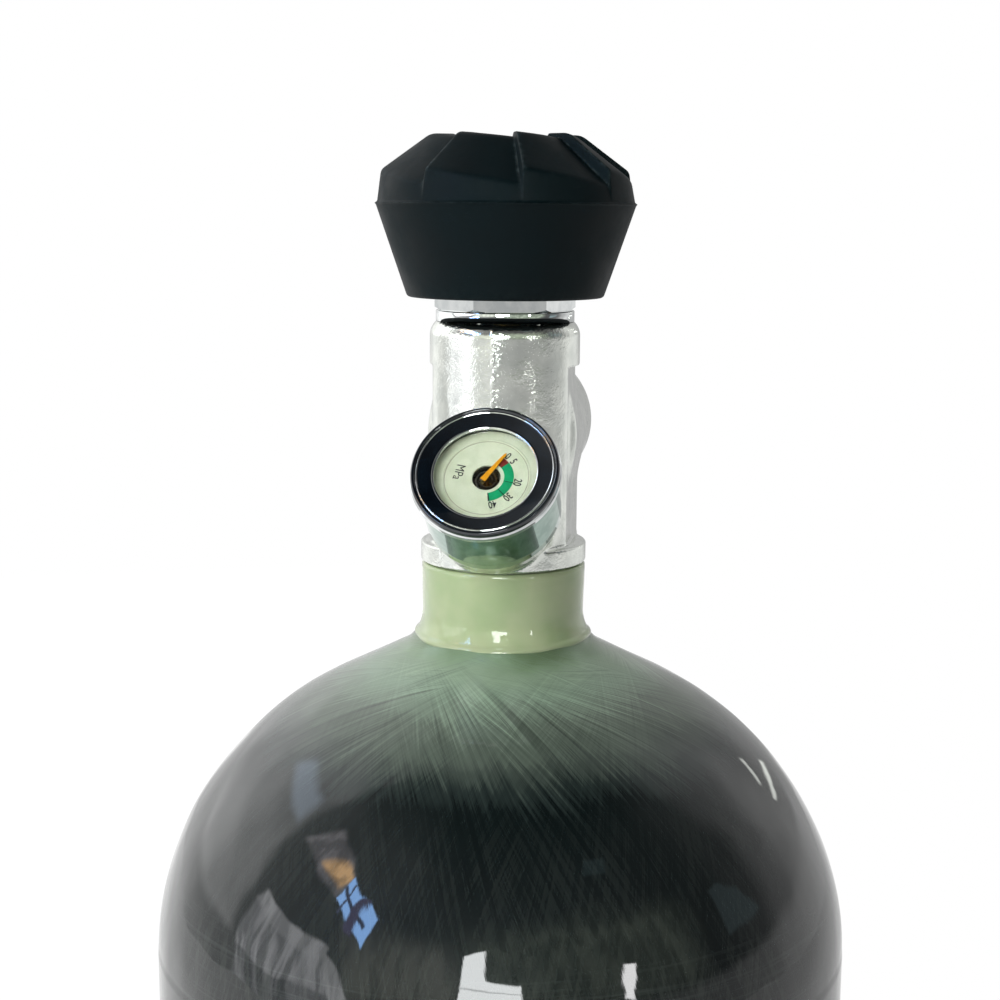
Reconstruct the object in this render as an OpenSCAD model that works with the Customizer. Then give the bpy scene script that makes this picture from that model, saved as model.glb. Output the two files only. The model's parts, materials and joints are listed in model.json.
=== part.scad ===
// High pressure breathing air cylinder: a wrapped composite tank with a forged pillar valve.
// The origin is the centre of the foot, +Z runs up the cylinder, -Y is the side of the gauge
// and +Y the side of the outlet. All sizes are in millimetres.

/* [Tank] */
// Outside diameter of the wrapped cylinder
tank_d = 157; // [150:1:170]
// Height from the foot to the face of the neck
tank_h = 525; // [480:5:620]
// Rise of the shoulder ellipse above the straight wall
shoulder_rise = 70; // [64:1:76]
// Neck standing above the top of the shoulder ellipse
neck_rise = 18.5; // [17:0.5:22]
// Outside diameter of the resin sleeve on the neck
neck_d = 36.1; // [35.5:0.1:37]
// How much wider the sleeve is at its top edge
neck_flare = 0.6; // [0:0.1:0.8]
// Diameter inside which the crowded windings run straight up to the neck
cone_d = 76; // [70:1:82]
// Radius of the sweep from there into the neck
neck_sweep_r = 10; // [8:0.5:12]
// Thickness of the clear glass fibre layer
glass_t = 1.2; // [0.8:0.1:1.6]
// Thickness of the carbon fibre layer
carbon_t = 5; // [4:0.25:6]
// Wall of the aluminium liner
liner_t = 3; // [2.5:0.25:4]
// Extra fibre where the windings crowd round the neck
neck_build = 1; // [0.5:0.1:1.5]
// Outside diameter of the liner's neck
liner_neck_d = 31.3; // [30.5:0.1:32]
// Height of the neck that the windings leave bare for the sleeve
bare_neck_h = 17; // [16:0.25:18]
// Diameter of the flat ring that the tank stands on
foot_d = 88; // [80:1:96]
// Height of the curve from the foot to the straight wall
foot_rise = 40; // [36:1:46]
// Thickness of the liner's floor
liner_floor_t = 5; // [4:0.5:6]
// Diameter of the boss at the tail of the liner
tail_boss_d = 22; // [18:1:26]
// Diameter of the dished middle of the foot
dish_d = 48; // [44:1:56]
// Depth of the dished middle of the foot
dish_h = 3; // [2.5:0.25:4]

/* [Valve body] */
// Diameter of the valve's flange
flange_d = 37; // [36.5:0.25:39]
// Thickness of the valve's flange
flange_h = 4.4; // [3.6:0.1:5]
// Diameter of the round pillar
pillar_d = 33.2; // [32.5:0.1:33.8]
// Height of the pillar's top above the neck face
pillar_h = 55.8; // [54:0.2:60]
// Radius of the pillar's top edge
pillar_edge_r = 3.2; // [2.5:0.1:4]
// Diameter of the turned land on top of the pillar
pillar_land_d = 30.6; // [30:0.1:31]
// Height of that land above the forged edge
pillar_land_h = 1.4; // [1:0.1:2]
// Width across the two wrench flats
flats_af = 30; // [29:0.25:31]
// Height of the flats above the neck face
flats_h = 43.8; // [42:0.2:45]
// How far the back of the body stands behind the axis
back_y = 16; // [15:0.25:17]
// Height of the block behind the pillar, above the neck face
back_h = 28; // [26:0.5:30]
// Nominal diameter of the neck thread
neck_thread_d = 18; // [17:0.5:20]
// Length of the neck thread
neck_thread_h = 22; // [20:1:26]
// Diameter of the gas way up the middle
gas_way_d = 5; // [4:0.25:5.5]

/* [Outlet] */
// Diameter of the outlet boss
outlet_boss_d = 33; // [31:0.5:34]
// Distance from the axis to the outlet face
outlet_reach = 30; // [28:0.5:34]
// Height of the outlet above the neck face
outlet_h = 28.5; // [28:0.25:29]
// Bore of the outlet thread, at its crests
outlet_bore_d = 20.587; // [20:0.001:21]
// Depth of the outlet thread
outlet_depth = 15; // [13:0.5:16]
// Gas way from the valve chamber to the outlet
cross_way_d = 5; // [4:0.25:5]

/* [Shut off] */
// Diameter of the chamber that the lower spindle screws in
chamber_d = 14; // [13.5:0.1:14.5]
// Height of the seat above the neck face
seat_h = 23; // [22:0.25:23.5]
// Height of the chamber's top above the neck face
chamber_top_h = 41; // [40.5:0.25:42]
// Bore that takes the gland nut
gland_bore_d = 20; // [19:0.25:20.5]
// Width across the flats of the gland nut
gland_af = 27; // [26:0.5:28]
// Height of the gland nut's hexagon
gland_head_h = 7.2; // [6.5:0.1:7.5]
// Diameter of the upper spindle
spindle_d = 8; // [7.5:0.1:8.5]
// Lift of the lower spindle for one turn of the handwheel
thread_pitch = 1.5; // [1:0.25:1.5]
// Turns from shut to open
open_turns = 1.75; // [1:0.25:1.75]

/* [Handwheel] */
// Height of the handwheel's lower edge above the neck face
wheel_bottom_h = 58.6; // [58:0.1:60]
// Diameter of the handwheel at its lower edge
wheel_bottom_d = 43.2; // [42:0.2:45]
// Diameter of the handwheel at its parting line
wheel_d = 56.8; // [54:0.2:60]
// Height of the parting line above the lower edge
parting_h = 20.2; // [19:0.2:22]
// How far the flash stands out of the parting line
flash_t = 0.3; // [0.2:0.05:0.5]
// Diameter at the crown's shoulder
shoulder_d = 54.6; // [53:0.2:56]
// Height of a crown ramp's shoulder at its high end, above the parting line
shoulder_high = 7.1; // [6.5:0.1:8]
// Drop of the shoulder along one ramp
shoulder_drop = 3.1; // [2:0.1:4]
// Height of the crown's rim at its high end, above the parting line
rim_high = 14.9; // [14:0.1:16]
// Drop of the rim along one ramp
rim_drop = 1; // [0.5:0.1:1.5]
// Diameter of the crown's rim at the high end of a ramp
rim_d = 33; // [31:0.2:35]
// How much nearer the axis the rim runs at the low end
rim_pull = 2; // [1:0.1:3]
// Number of ramps round the crown
ramps = 8; // [5:1:10]
// Turn of the first step from the gauge side, seen from above
ramp_turn = 15.5; // [0:0.5:45]
// Diameter of the well in the top
well_d = 22; // [20:0.5:24]
// Wall of rubber round the gland nut
skirt_t = 4; // [3:0.25:4.5]

/* [Gauge] */
// Tilt of the gauge's face from upright
gauge_tilt = 40; // [38:1:42]
// Height above the neck face where the gauge's axis meets the cylinder's
gauge_root_h = 1.4; // [1:0.1:2]
// Distance along that axis to the front of the bezel
gauge_reach = 35.2; // [35:0.1:36]
// Diameter of the boss that carries the gauge
gauge_boss_d = 29.6; // [29:0.1:30]
// Outside diameter of the bezel
bezel_d = 32; // [31.4:0.1:32.6]
// Height of the bezel's rim
bezel_h = 2.7; // [2.5:0.1:3]
// Diameter of the bezel's window
window_d = 21.8; // [21:0.1:22.6]
// Outside diameter of the gauge's case
case_d = 25; // [24.5:0.1:25.4]
// Thickness of the gauge's crystal
crystal_t = 0.85; // [0.7:0.05:0.9]
// Turn of the dial's own upright from the gauge's top, clockwise
dial_turn = 101; // [0:1:180]
// Swing of the needle from zero to full scale
needle_swing = 136; // [120:1:180]
// Length of the needle from its pivot to its tip
needle_l = 6.9; // [6.5:0.1:7.2]
// Hole in the middle of the dial
dial_hole_d = 6; // [5.5:0.1:6.4]
// Inner edge of the coloured band
band_in_d = 7.6; // [7.4:0.1:8]
// Outer edge of the coloured band
band_out_d = 11.6; // [11:0.1:12]

/* [Burst disc] */
// Nominal diameter of the burst disc plug
burst_plug_d = 10; // [9.5:0.5:10.5]
// Height of the plug above the neck face
burst_h = 11; // [10.5:0.25:11.5]
// Depth of the plug's bore
burst_depth = 10; // [9:0.5:10.5]

/* [Fits] */
// Radial clearance of a screwed joint
thread_gap = 0.05; // [0.03:0.01:0.1]
// Radial clearance of a turning or sliding fit
running_gap = 0.05; // [0.03:0.01:0.08]
// Clearance between pieces that lie against each other
seat_gap = 0.05; // [0.03:0.01:0.1]

/* [Hidden] */

// Smoothness of round pieces, and points along the drawn curves
$fn = 96;
dome_steps = 36;
sweep_steps = 12;
edge_steps = 6;
// Bodies are cut this far past their ends, so that cuts never end in a shared face
over = 1;

// The straight wall of the tank and the shoulder above it
tank_r = tank_d / 2;
neck_r = neck_d / 2;
shoulder_z = tank_h - neck_rise - shoulder_rise;
liner_neck_r = liner_neck_d / 2;
wrap_t = glass_t + carbon_t;
wrap_top_z = tank_h - bare_neck_h;
cone_angle = acos(cone_d / tank_d);
liner_sweep_r = neck_sweep_r / 2;
foot_r = foot_d / 2;
dish_r = dish_d / 2;
tail_boss_r = tail_boss_d / 2;
thread_r = neck_thread_d / 2;
sleeve_gap = 0.3;
sleeve_edge = 0.6;
inside_rise = 1;
tail_centre_d = 6;
tail_centre_h = 3;
tail_boss_z = dish_h / 2;

// Heights inside the valve
flange_z = tank_h;
body_z = flange_z + flange_h;
pillar_top_z = flange_z + pillar_h;
flats_top_z = flange_z + flats_h;
outlet_z = flange_z + outlet_h;
mouth_depth = 1.6;
mouth_h = mouth_depth + over;
mouth_sink = 0.3;
mouth_r = outlet_bore_d / 2 - mouth_sink;
seat_z = flange_z + seat_h;
chamber_top_z = flange_z + chamber_top_h;
burst_z = flange_z + burst_h;
burst_y = 2;
seat_lip_h = 0.8;
seat_lip_t = 0.9;
dip_r = 3.6;
dip_wall = 1;
dip_grip = 9;
dip_l = 48;
gland_seal_h = 1;
gland_seal_t = 2.7;
spindle_r = spindle_d / 2;

// The O-ring of the neck lies in a step at the top of the liner's bore
neck_ring_d = 2.4;
neck_ring_r = thread_r + seat_gap + neck_ring_d / 2;
neck_step_r = thread_r + neck_ring_d + 3 * seat_gap;
neck_step_h = neck_ring_d + 2 * seat_gap;

// Gland nut, from its shank to the top of its hexagon
gland_r = gland_bore_d / 2 - thread_gap;
gland_z = chamber_top_z + gland_seal_h;
gland_top_z = pillar_top_z + gland_head_h;
gland_chamfer = 1.2;
gland_turn = 13;
gland_shank_wall = 3.3;
collar_r = gland_r - gland_shank_wall;
collar_h = 3.5;
washer_t = 0.7;
collar_gap = 0.2;
collar_z = gland_z + collar_gap;
washer_z = collar_z + collar_h + seat_gap;
collar_bore_z = washer_z + washer_t + seat_gap;
ring_section_r = 0.92;
ring_groove_r = spindle_r + running_gap + 2 * ring_section_r + seat_gap;
ring_groove_h = 2.4;
ring_z = (collar_bore_z + gland_top_z) / 2;

// Lower spindle and its seat insert
lift = thread_pitch * open_turns;
insert_r = 4.5;
insert_h = 3.1;
nose_r = 5.6;
nose_gap = 1.2;
nose_z = seat_z + nose_gap;
nose_h = 6.4;
plug_r = chamber_d / 2 - running_gap;
plug_top_gap = 1.4;
plug_top_z = chamber_top_z - lift - plug_top_gap;
tang_t = 3;
tang_w = 9;
slot_gap = 0.1;
slot_floor = 0.9;
tang_gap = 0.3;
slot_t = tang_t + 2 * slot_gap;
slot_z = nose_z + nose_h + slot_floor;
tang_z = slot_z + lift + tang_gap;

// Handwheel, hub and what holds them on the spindle
wheel_z = flange_z + wheel_bottom_h;
parting_z = wheel_z + parting_h;
wheel_top_z = parting_z + rim_high;
hub_lift = 1.4;
hub_z = gland_top_z + hub_lift;
hub_flange_r = 15;
hub_flange_h = 2.6;
hub_r = 12.5;
hub_floor_h = 6.6;
hub_h = 15.6;
hub_lobes = 12;
hub_lobe_r = 1.6;
hub_pocket_r = 7.5;
hub_top_z = hub_z + hub_h;
square_af = 6;
square_stands = 4;
square_top_z = hub_z + hub_floor_h + square_stands;
spindle_end_r = 2.95;
shank_gap = 0.2;
wheel_nut_af = 10;
wheel_nut_flange_r = 7.2;
wheel_nut_flange_h = 1.5;
wheel_nut_h = 6;
wheel_nut_chamfer = 0.6;
spindle_end_z = hub_top_z + wheel_nut_h;
spring_wire_r = 0.6;
spring_turns = 5;
spring_sides = 8;
spring_steps = 18;
spring_clear = 2.5;
spring_r = square_af / 2 + spring_clear;
cavity_r = wheel_bottom_d / 2 - skirt_t;
well_r = well_d / 2;
flash_h = 0.6;
ramp_angle = 360 / ramps;
riser_angle = 1.6;
ramp_steps = 8;
crown_sink = 2.5;
crown_inset = 0.5;

// The gauge is drawn along its own axis: t runs from the cylinder's axis to the front
bezel_t = gauge_reach - bezel_h;
gauge_boss_r = gauge_boss_d / 2;
gauge_boss_back_t = 18.8;
gauge_root_t = 10;
gauge_root_step = 3;
gauge_root_r = gauge_boss_r - gauge_root_step;
case_r = case_d / 2;
case_wall = 0.8;
case_floor = 1;
case_sink = 0.1;
case_h = 8.1;
case_top_t = bezel_t - case_sink;
case_t = case_top_t - case_h;
pocket_gap = 0.15;
pocket_r = case_r + pocket_gap;
pocket_t = case_t - pocket_gap;
socket_r = 4.2;
socket_t = 12;
socket_way_d = 2;
gauge_way_d = 2;
spot_gap = 0.25;
window_r = window_d / 2;
crystal_inset = 0.5;
crystal_r = case_r - crystal_inset;
gasket_t = 0.3;
gasket_over = 0.3;
crystal_z = case_top_t + gasket_t + seat_gap;
crystal_seat_r = crystal_r + seat_gap;
lip_z = crystal_z + crystal_t + seat_gap;
lip_t = 0.45;
lip_edge = 0.2;
bead_r = 0.75;
bead_turn = 150;
dial_t = 0.5;
dial_depth = 1;
dial_gap = 0.1;
dial_step_in = 1.8;
dial_step_w = 0.25;
dial_step_h = 0.1;
dial_z = bezel_t - dial_depth;
dial_r = case_r - case_wall - dial_gap;
dial_step_r = window_r - dial_step_in;
band_h = 0.06;
needle_t = 0.25;
needle_gap = 0.45;
needle_z = dial_z + needle_gap;
needle_w = 1.3;
needle_tip_w = 0.5;
needle_tail = 1.1;
arbor_r = 0.5;
coil_lift = 3.6;
coil_z = case_t + coil_lift;
coil_h = 2.6;
coil_in_r = 1.1;
coil_out_r = 6;
coil_turns = 6;
coil_wall = 0.32;
coil_steps = 20;
post_r = 1.4;
post_gap = 0.3;
arbor_lift = 2.2;
arbor_foot_gap = 0.2;
seal_t = 1;
seal_bore_gap = 0.4;
full_scale = 40;
red_mark = 5;
red_share = red_mark / full_scale;
tick_w = 0.25;
marks = [20, 30, 40];
ticks = [for (m = marks) m / full_scale];
zero_angle = 90 - dial_turn + needle_swing / 2;

// Burst disc plug, screwed into the flat on the side away from the gauge's front
burst_r = burst_plug_d / 2;
burst_x = -flats_af / 2;
burst_disc_t = 0.3;
burst_gasket_t = 0.8;
burst_key_af = 5;
burst_key_h = 3;
burst_vent_d = 2;
burst_sink = 0.3;
burst_edge = 0.3;

// The top of a tank layer: an ellipse with half axes a and b up from the straight wall, then the
// straight cone of the crowded windings, then the sweep of radius f into a neck of radius r
function shoulder_curve(a, b, f, r) =
    let (
        last = [a * cos(cone_angle), shoulder_z + b * sin(cone_angle)],
        slope = atan2(b * cos(cone_angle), a * sin(cone_angle)),
        cone_l = (last[0] + f * sin(slope) - r - f) / cos(slope),
        centre = last + cone_l * [-cos(slope), sin(slope)] + f * [sin(slope), cos(slope)]
    )
    concat(
        [for (i = [0:dome_steps])
            let (t = cone_angle * i / dome_steps)
            [a * cos(t), shoulder_z + b * sin(t)]],
        [for (i = [0:sweep_steps])
            let (t = -90 - slope - (90 - slope) * i / sweep_steps)
            centre + f * [cos(t), sin(t)]]
    );

// The bottom of a tank layer that lies depth inside the outer surface
function foot_curve(depth) =
    concat(
        [[tail_boss_r, dish_h + depth], [dish_r, depth]],
        [for (i = [0:dome_steps / 2])
            let (t = -90 + 90 * i / (dome_steps / 2))
            [foot_r + (tank_r - foot_r - depth) * cos(t), foot_rise + (foot_rise - depth) * sin(t)]]
    );

function reversed(points) = [for (i = [len(points) - 1:-1:0]) points[i]];
function below(points, z) = [for (p = points) if (p[1] < z) p];
function above(points, z) = [for (p = points) if (p[1] >= z) p];

// Where a curve that rises crosses the height z
function crossing(points, z) =
    let (
        a = below(points, z),
        b = above(points, z),
        p = a[len(a) - 1],
        q = b[0],
        share = (z - p[1]) / (q[1] - p[1])
    )
    [p[0] + (q[0] - p[0]) * share, z];

outer_curve = concat(
    foot_curve(0),
    shoulder_curve(tank_r, shoulder_rise, neck_sweep_r, neck_r)
);
glass_curve = concat(below(outer_curve, wrap_top_z), [crossing(outer_curve, wrap_top_z)]);
carbon_full_curve = concat(
    foot_curve(glass_t),
    shoulder_curve(tank_r - glass_t, shoulder_rise - glass_t, neck_sweep_r + glass_t, neck_r - glass_t)
);
carbon_curve = concat(below(carbon_full_curve, wrap_top_z), [crossing(carbon_full_curve, wrap_top_z)]);
liner_curve = concat(
    [[tail_boss_r, wrap_t], [foot_r, wrap_t]],
    [for (i = [1:dome_steps / 2])
        let (t = -90 + 90 * i / (dome_steps / 2))
        [foot_r + (tank_r - foot_r - wrap_t) * cos(t), foot_rise + (foot_rise - wrap_t) * sin(t)]],
    shoulder_curve(tank_r - wrap_t, shoulder_rise - wrap_t - neck_build, liner_sweep_r, liner_neck_r)
);
inside_a = tank_r - wrap_t - liner_t;
inside_b = shoulder_rise - wrap_t - neck_build - liner_t - inside_rise;
inside_stop = acos((thread_r + thread_gap) / inside_a);
inside_curve = concat(
    [[0, wrap_t + liner_floor_t]],
    [for (i = [0:dome_steps / 2])
        let (t = -90 + 90 * i / (dome_steps / 2))
        [foot_r + (inside_a - foot_r) * cos(t),
         foot_rise + (foot_rise - wrap_t - liner_floor_t) * sin(t)]],
    [for (i = [0:dome_steps])
        let (t = inside_stop * i / dome_steps)
        [inside_a * cos(t), shoulder_z + inside_b * sin(t)]]
);

// Helpers

module ring(inner_r, outer_r, z, h) {
    translate([0, 0, z])
        rotate_extrude()
            translate([inner_r, 0])
                square([outer_r - inner_r, h]);
}

module rod(r, z, h, sides = $fn) {
    translate([0, 0, z])
        cylinder(r = r, h = h, $fn = sides);
}

module o_ring(centre_r, section_r, z) {
    translate([0, 0, z])
        rotate_extrude()
            translate([centre_r, 0])
                circle(r = section_r, $fn = 32);
}

// A hexagon with both ends turned down at its corners
module hexagon(af, z, h, chamfer) {
    corner_r = af / 2 / cos(30);
    intersection() {
        rod(corner_r, z, h, 6);
        translate([0, 0, z])
            rotate_extrude()
                polygon([
                    [0, 0],
                    [corner_r - chamfer, 0],
                    [corner_r + over, (chamfer + over) / 2],
                    [corner_r + over, h - (chamfer + over) / 2],
                    [corner_r - chamfer, h],
                    [0, h]
                ]);
    }
}

module on_gauge_axis() {
    translate([0, 0, flange_z + gauge_root_h])
        rotate([90 - gauge_tilt, 0, 0])
            children();
}

module on_outlet_axis() {
    translate([0, 0, outlet_z])
        rotate([-90, 0, 0])
            children();
}

module on_burst_axis() {
    translate([burst_x, burst_y, burst_z])
        rotate([0, 90, 0])
            children();
}

// Tank

module aluminium_liner() {
    color("silver")
        difference() {
            union() {
                rotate_extrude()
                    polygon(concat(
                        liner_curve,
                        [[liner_neck_r, tank_h]],
                        [[thread_r + thread_gap, tank_h]],
                        reversed(inside_curve),
                        [[0, wrap_t]]
                    ));
                rod(tail_boss_r - seat_gap, tail_boss_z, wrap_t - tail_boss_z + over);
            }
            rod(neck_step_r, tank_h - neck_step_h, neck_step_h + over);
            rod(tail_centre_d / 2, tail_boss_z - over, tail_centre_h + over);
        }
}

module carbon_overwrap() {
    color([0.06, 0.06, 0.07])
        rotate_extrude()
            polygon(concat(
                carbon_curve,
                [[liner_neck_r, wrap_top_z]],
                reversed(liner_curve)
            ));
}

module glass_overwrap() {
    color([0.16, 0.20, 0.18])
        rotate_extrude()
            polygon(concat(glass_curve, reversed(carbon_curve)));
}

// Resin and glass fibre round the bare neck, on top of the windings
module neck_sleeve() {
    sleeve_top_z = tank_h - sleeve_gap;
    top_r = neck_r + neck_flare / 2;
    color([0.66, 0.73, 0.54])
        rotate_extrude()
            polygon(concat(
                [crossing(outer_curve, wrap_top_z)],
                above(outer_curve, wrap_top_z),
                [
                    [top_r, sleeve_top_z - sleeve_edge],
                    [top_r - sleeve_edge / 3, sleeve_top_z - sleeve_edge / 3],
                    [top_r - sleeve_edge, sleeve_top_z],
                    [liner_neck_r, sleeve_top_z],
                    [liner_neck_r, wrap_top_z]
                ]
            ));
}

// Valve body: flange, pillar, outlet boss and gauge boss forged as one, then bored

// The forged edge rounds over until it meets the turned land that the gland nut sits on
module pillar() {
    pillar_r = pillar_d / 2;
    land_r = pillar_land_d / 2;
    edge_r = pillar_edge_r;
    edge_h = pillar_h - pillar_land_h;
    meeting = acos((land_r - pillar_r + edge_r) / edge_r);
    translate([0, 0, flange_z])
        rotate_extrude()
            polygon(concat(
                [[0, 0], [pillar_r, 0]],
                [for (i = [0:edge_steps])
                    let (t = meeting * i / edge_steps)
                    [pillar_r - edge_r + edge_r * cos(t), edge_h - edge_r + edge_r * sin(t)]],
                [[land_r, pillar_h], [0, pillar_h]]
            ));
}

module back_block() {
    translate([-flats_af / 2, 0, flange_z + flange_h / 2])
        cube([flats_af, back_y, back_h - flange_h / 2]);
}

module flat_cuts() {
    for (side = [-1, 1])
        translate([side * (flats_af / 2 + pillar_d / 4), 0, (body_z + flats_top_z) / 2])
            cube([pillar_d / 2, 4 * pillar_d, flats_top_z - body_z], center = true);
}

module outlet_boss() {
    outlet_edge = 1.2;
    r = outlet_boss_d / 2;
    on_outlet_axis()
        rotate_extrude()
            polygon([
                [0, 0],
                [r, 0],
                [r, outlet_reach - outlet_edge],
                [r - outlet_edge, outlet_reach],
                [0, outlet_reach]
            ]);
}

module gauge_boss() {
    difference() {
        on_gauge_axis()
            rotate_extrude()
                polygon([
                    [0, gauge_root_t],
                    [gauge_root_r, gauge_root_t],
                    [gauge_boss_r, gauge_boss_back_t],
                    [gauge_boss_r, bezel_t],
                    [0, bezel_t]
                ]);
        // Nothing of the boss hangs below the flange
        rod(flange_d, flange_z - flange_d, flange_d);
    }
}

module body_bores() {
    // Gas way, seat, chamber and gland bore up the middle
    rod(gas_way_d / 2, flange_z - neck_thread_h - over, neck_thread_h + seat_h + 2 * over);
    difference() {
        rod(chamber_d / 2, seat_z - seat_lip_h, chamber_top_z - seat_z + seat_lip_h + over);
        rod(gas_way_d / 2 + seat_lip_t, seat_z - seat_lip_h - over, seat_lip_h + over);
    }
    rod(gland_bore_d / 2, chamber_top_z, pillar_top_z - chamber_top_z + over);
    // Counterbore of the dip tube
    rod(dip_r + thread_gap, flange_z - neck_thread_h - over, dip_grip + over);
    // Outlet thread and the way into it
    on_outlet_axis() {
        rod(outlet_bore_d / 2, outlet_reach - outlet_depth, outlet_depth + over);
        rod(cross_way_d / 2, chamber_d / 2 - over, outlet_reach - chamber_d / 2);
        translate([0, 0, outlet_reach - mouth_depth])
            cylinder(r1 = mouth_r, r2 = mouth_r + mouth_h, h = mouth_h);
    }
    // Pocket, socket and way of the gauge
    on_gauge_axis() {
        rod(pocket_r, pocket_t, bezel_t - pocket_t + over);
        rod(socket_r + thread_gap, socket_t, pocket_t - socket_t + over);
        rod(gauge_way_d / 2, 0, socket_t + over);
        rod(bezel_d / 2 + spot_gap, bezel_t, bezel_d);
    }
    // Burst disc bore and its way
    on_burst_axis() {
        rod(burst_r + thread_gap, -over, burst_depth + over);
        rod(burst_vent_d / 2, 0, flats_af / 2);
    }
}

module valve_body() {
    color([0.80, 0.82, 0.82])
        difference() {
            union() {
                rod(flange_d / 2, flange_z, flange_h);
                difference() {
                    union() {
                        pillar();
                        back_block();
                    }
                    flat_cuts();
                }
                outlet_boss();
                gauge_boss();
                rod(thread_r, flange_z - neck_thread_h, neck_thread_h + over);
            }
            body_bores();
        }
}

module neck_o_ring() {
    color([0.12, 0.12, 0.12])
        o_ring(neck_ring_r, neck_ring_d / 2 - seat_gap / 2, tank_h - neck_step_h / 2);
}

module dip_tube() {
    color([0.75, 0.70, 0.55])
        ring(dip_r - dip_wall, dip_r, flange_z - neck_thread_h + dip_grip - dip_l, dip_l - seat_gap);
}

// Shut off

module gland_nut() {
    color([0.82, 0.83, 0.84])
        difference() {
            union() {
                rod(gland_r, gland_z, pillar_top_z - gland_z + over);
                rotate([0, 0, gland_turn])
                    hexagon(gland_af, pillar_top_z, gland_head_h, gland_chamfer);
            }
            rod(spindle_r + running_gap, gland_z - over, gland_top_z - gland_z + 2 * over);
            rod(collar_r + running_gap, gland_z - over, collar_bore_z - gland_z + over);
            rod(ring_groove_r, ring_z - ring_groove_h / 2, ring_groove_h);
        }
}

module gland_seal() {
    color([0.72, 0.45, 0.25])
        ring(gland_r - gland_seal_t, gland_r, chamber_top_z + seat_gap, gland_seal_h - 2 * seat_gap);
}

module upper_spindle() {
    color([0.78, 0.72, 0.50])
        union() {
            // Tang that turns the lower spindle and lets it rise
            translate([-tang_t / 2, -tang_w / 2, tang_z])
                cube([tang_t, tang_w, collar_z - tang_z + over]);
            rod(collar_r, collar_z, collar_h);
            rod(spindle_r, collar_z, hub_z - shank_gap - collar_z);
            // Square for the hub
            intersection() {
                rod(spindle_r, collar_z, square_top_z - collar_z);
                translate([-square_af / 2, -square_af / 2, collar_z])
                    cube([square_af, square_af, square_top_z - collar_z]);
            }
            // Screwed end for the handwheel's nut
            rod(spindle_end_r, collar_z, spindle_end_z - collar_z);
        }
}

module spindle_o_ring() {
    color([0.12, 0.12, 0.12])
        o_ring(spindle_r + running_gap + ring_section_r, ring_section_r, ring_z);
}

module thrust_washer() {
    color([0.92, 0.90, 0.84])
        ring(spindle_r + running_gap, collar_r, washer_z, washer_t);
}

module lower_spindle() {
    color([0.80, 0.66, 0.35])
        difference() {
            union() {
                rod(nose_r, nose_z, nose_h + over);
                rod(plug_r, nose_z + nose_h, plug_top_z - nose_z - nose_h);
            }
            rod(insert_r + seat_gap, nose_z - over, seat_z + seat_gap + insert_h - nose_z + over);
            translate([-slot_t / 2, -chamber_d / 2, slot_z])
                cube([slot_t, chamber_d, plug_top_z - slot_z + over]);
        }
}

module seat_insert() {
    color([0.93, 0.91, 0.85])
        rod(insert_r, seat_z + seat_gap, insert_h - seat_gap);
}

// Handwheel

module handwheel_hub() {
    color([0.76, 0.70, 0.45])
        difference() {
            union() {
                rod(hub_flange_r, hub_z, hub_flange_h);
                rod(hub_r, hub_z, hub_h);
            }
            // Flutes that key the hub into the rubber
            for (k = [0:hub_lobes - 1])
                rotate([0, 0, 360 / hub_lobes * k])
                    translate([hub_r + hub_lobe_r / 2, 0, hub_z + hub_flange_h])
                        cylinder(r = hub_lobe_r, h = hub_h, $fn = 24);
            rod(hub_pocket_r, hub_z + hub_floor_h, hub_h);
            translate([0, 0, hub_z + hub_floor_h / 2])
                cube(
                    [square_af + 2 * running_gap, square_af + 2 * running_gap, hub_floor_h + 2 * over],
                    center = true
                );
        }
}

// One ring of the crown, at share u along a ramp that starts at angle turn. The last points
// go down inside the wheel, so that the crown and the wheel's lower part grow into one.
function crown_ring(turn, u) =
    let (
        rim_r = rim_d / 2 - rim_pull * u,
        rim_z = parting_z + rim_high - rim_drop * u,
        edge_z = parting_z + shoulder_high - shoulder_drop * u,
        base_r = wheel_d / 2 - crown_inset,
        outline = [
            [base_r - 2 * crown_inset, parting_z - crown_sink],
            [base_r, parting_z + flash_h],
            [shoulder_d / 2, edge_z],
            [rim_r, rim_z],
            [well_r - over, rim_z],
            [well_r - over, parting_z - crown_sink]
        ]
    )
    [for (p = outline) [p[0] * sin(turn), -p[0] * cos(turn), p[1]]];

// Ramps that each climb against the next like the teeth of a ratchet
module crown() {
    rings = [
        for (k = [0:ramps - 1])
            for (i = [0:ramp_steps])
                crown_ring(
                    ramp_turn + ramp_angle * k + (ramp_angle - riser_angle) * i / ramp_steps,
                    i / ramp_steps
                )
    ];
    count = len(rings);
    size = len(rings[0]);
    points = [for (r = rings) for (p = r) p];
    faces = [
        for (j = [0:count - 1])
            for (i = [0:size - 1])
                let (
                    a = j * size + i,
                    b = j * size + (i + 1) % size,
                    c = ((j + 1) % count) * size + (i + 1) % size,
                    d = ((j + 1) % count) * size + i
                )
                each [[a, b, c], [a, c, d]]
    ];
    polyhedron(points = points, faces = faces, convexity = 6);
}

module handwheel_grip() {
    wheel_r = wheel_d / 2;
    color([0.07, 0.10, 0.10])
        difference() {
            union() {
                rotate_extrude()
                    polygon([
                        [0, wheel_z],
                        [wheel_bottom_d / 2, wheel_z],
                        [wheel_r, parting_z - flash_h / 2],
                        [wheel_r + flash_t, parting_z - flash_h / 6],
                        [wheel_r + flash_t, parting_z + flash_h / 6],
                        [wheel_r - crown_inset / 2, parting_z + flash_h / 2],
                        [0, parting_z + flash_h / 2]
                    ]);
                crown();
            }
            rod(cavity_r, wheel_z - over, hub_z - wheel_z + over);
            rod(hub_flange_r + seat_gap, hub_z - over, hub_flange_h + over);
            rod(hub_r + seat_gap, hub_z, hub_h);
            rod(well_r, hub_top_z - over, wheel_top_z - hub_top_z + 2 * over);
        }
}

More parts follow.
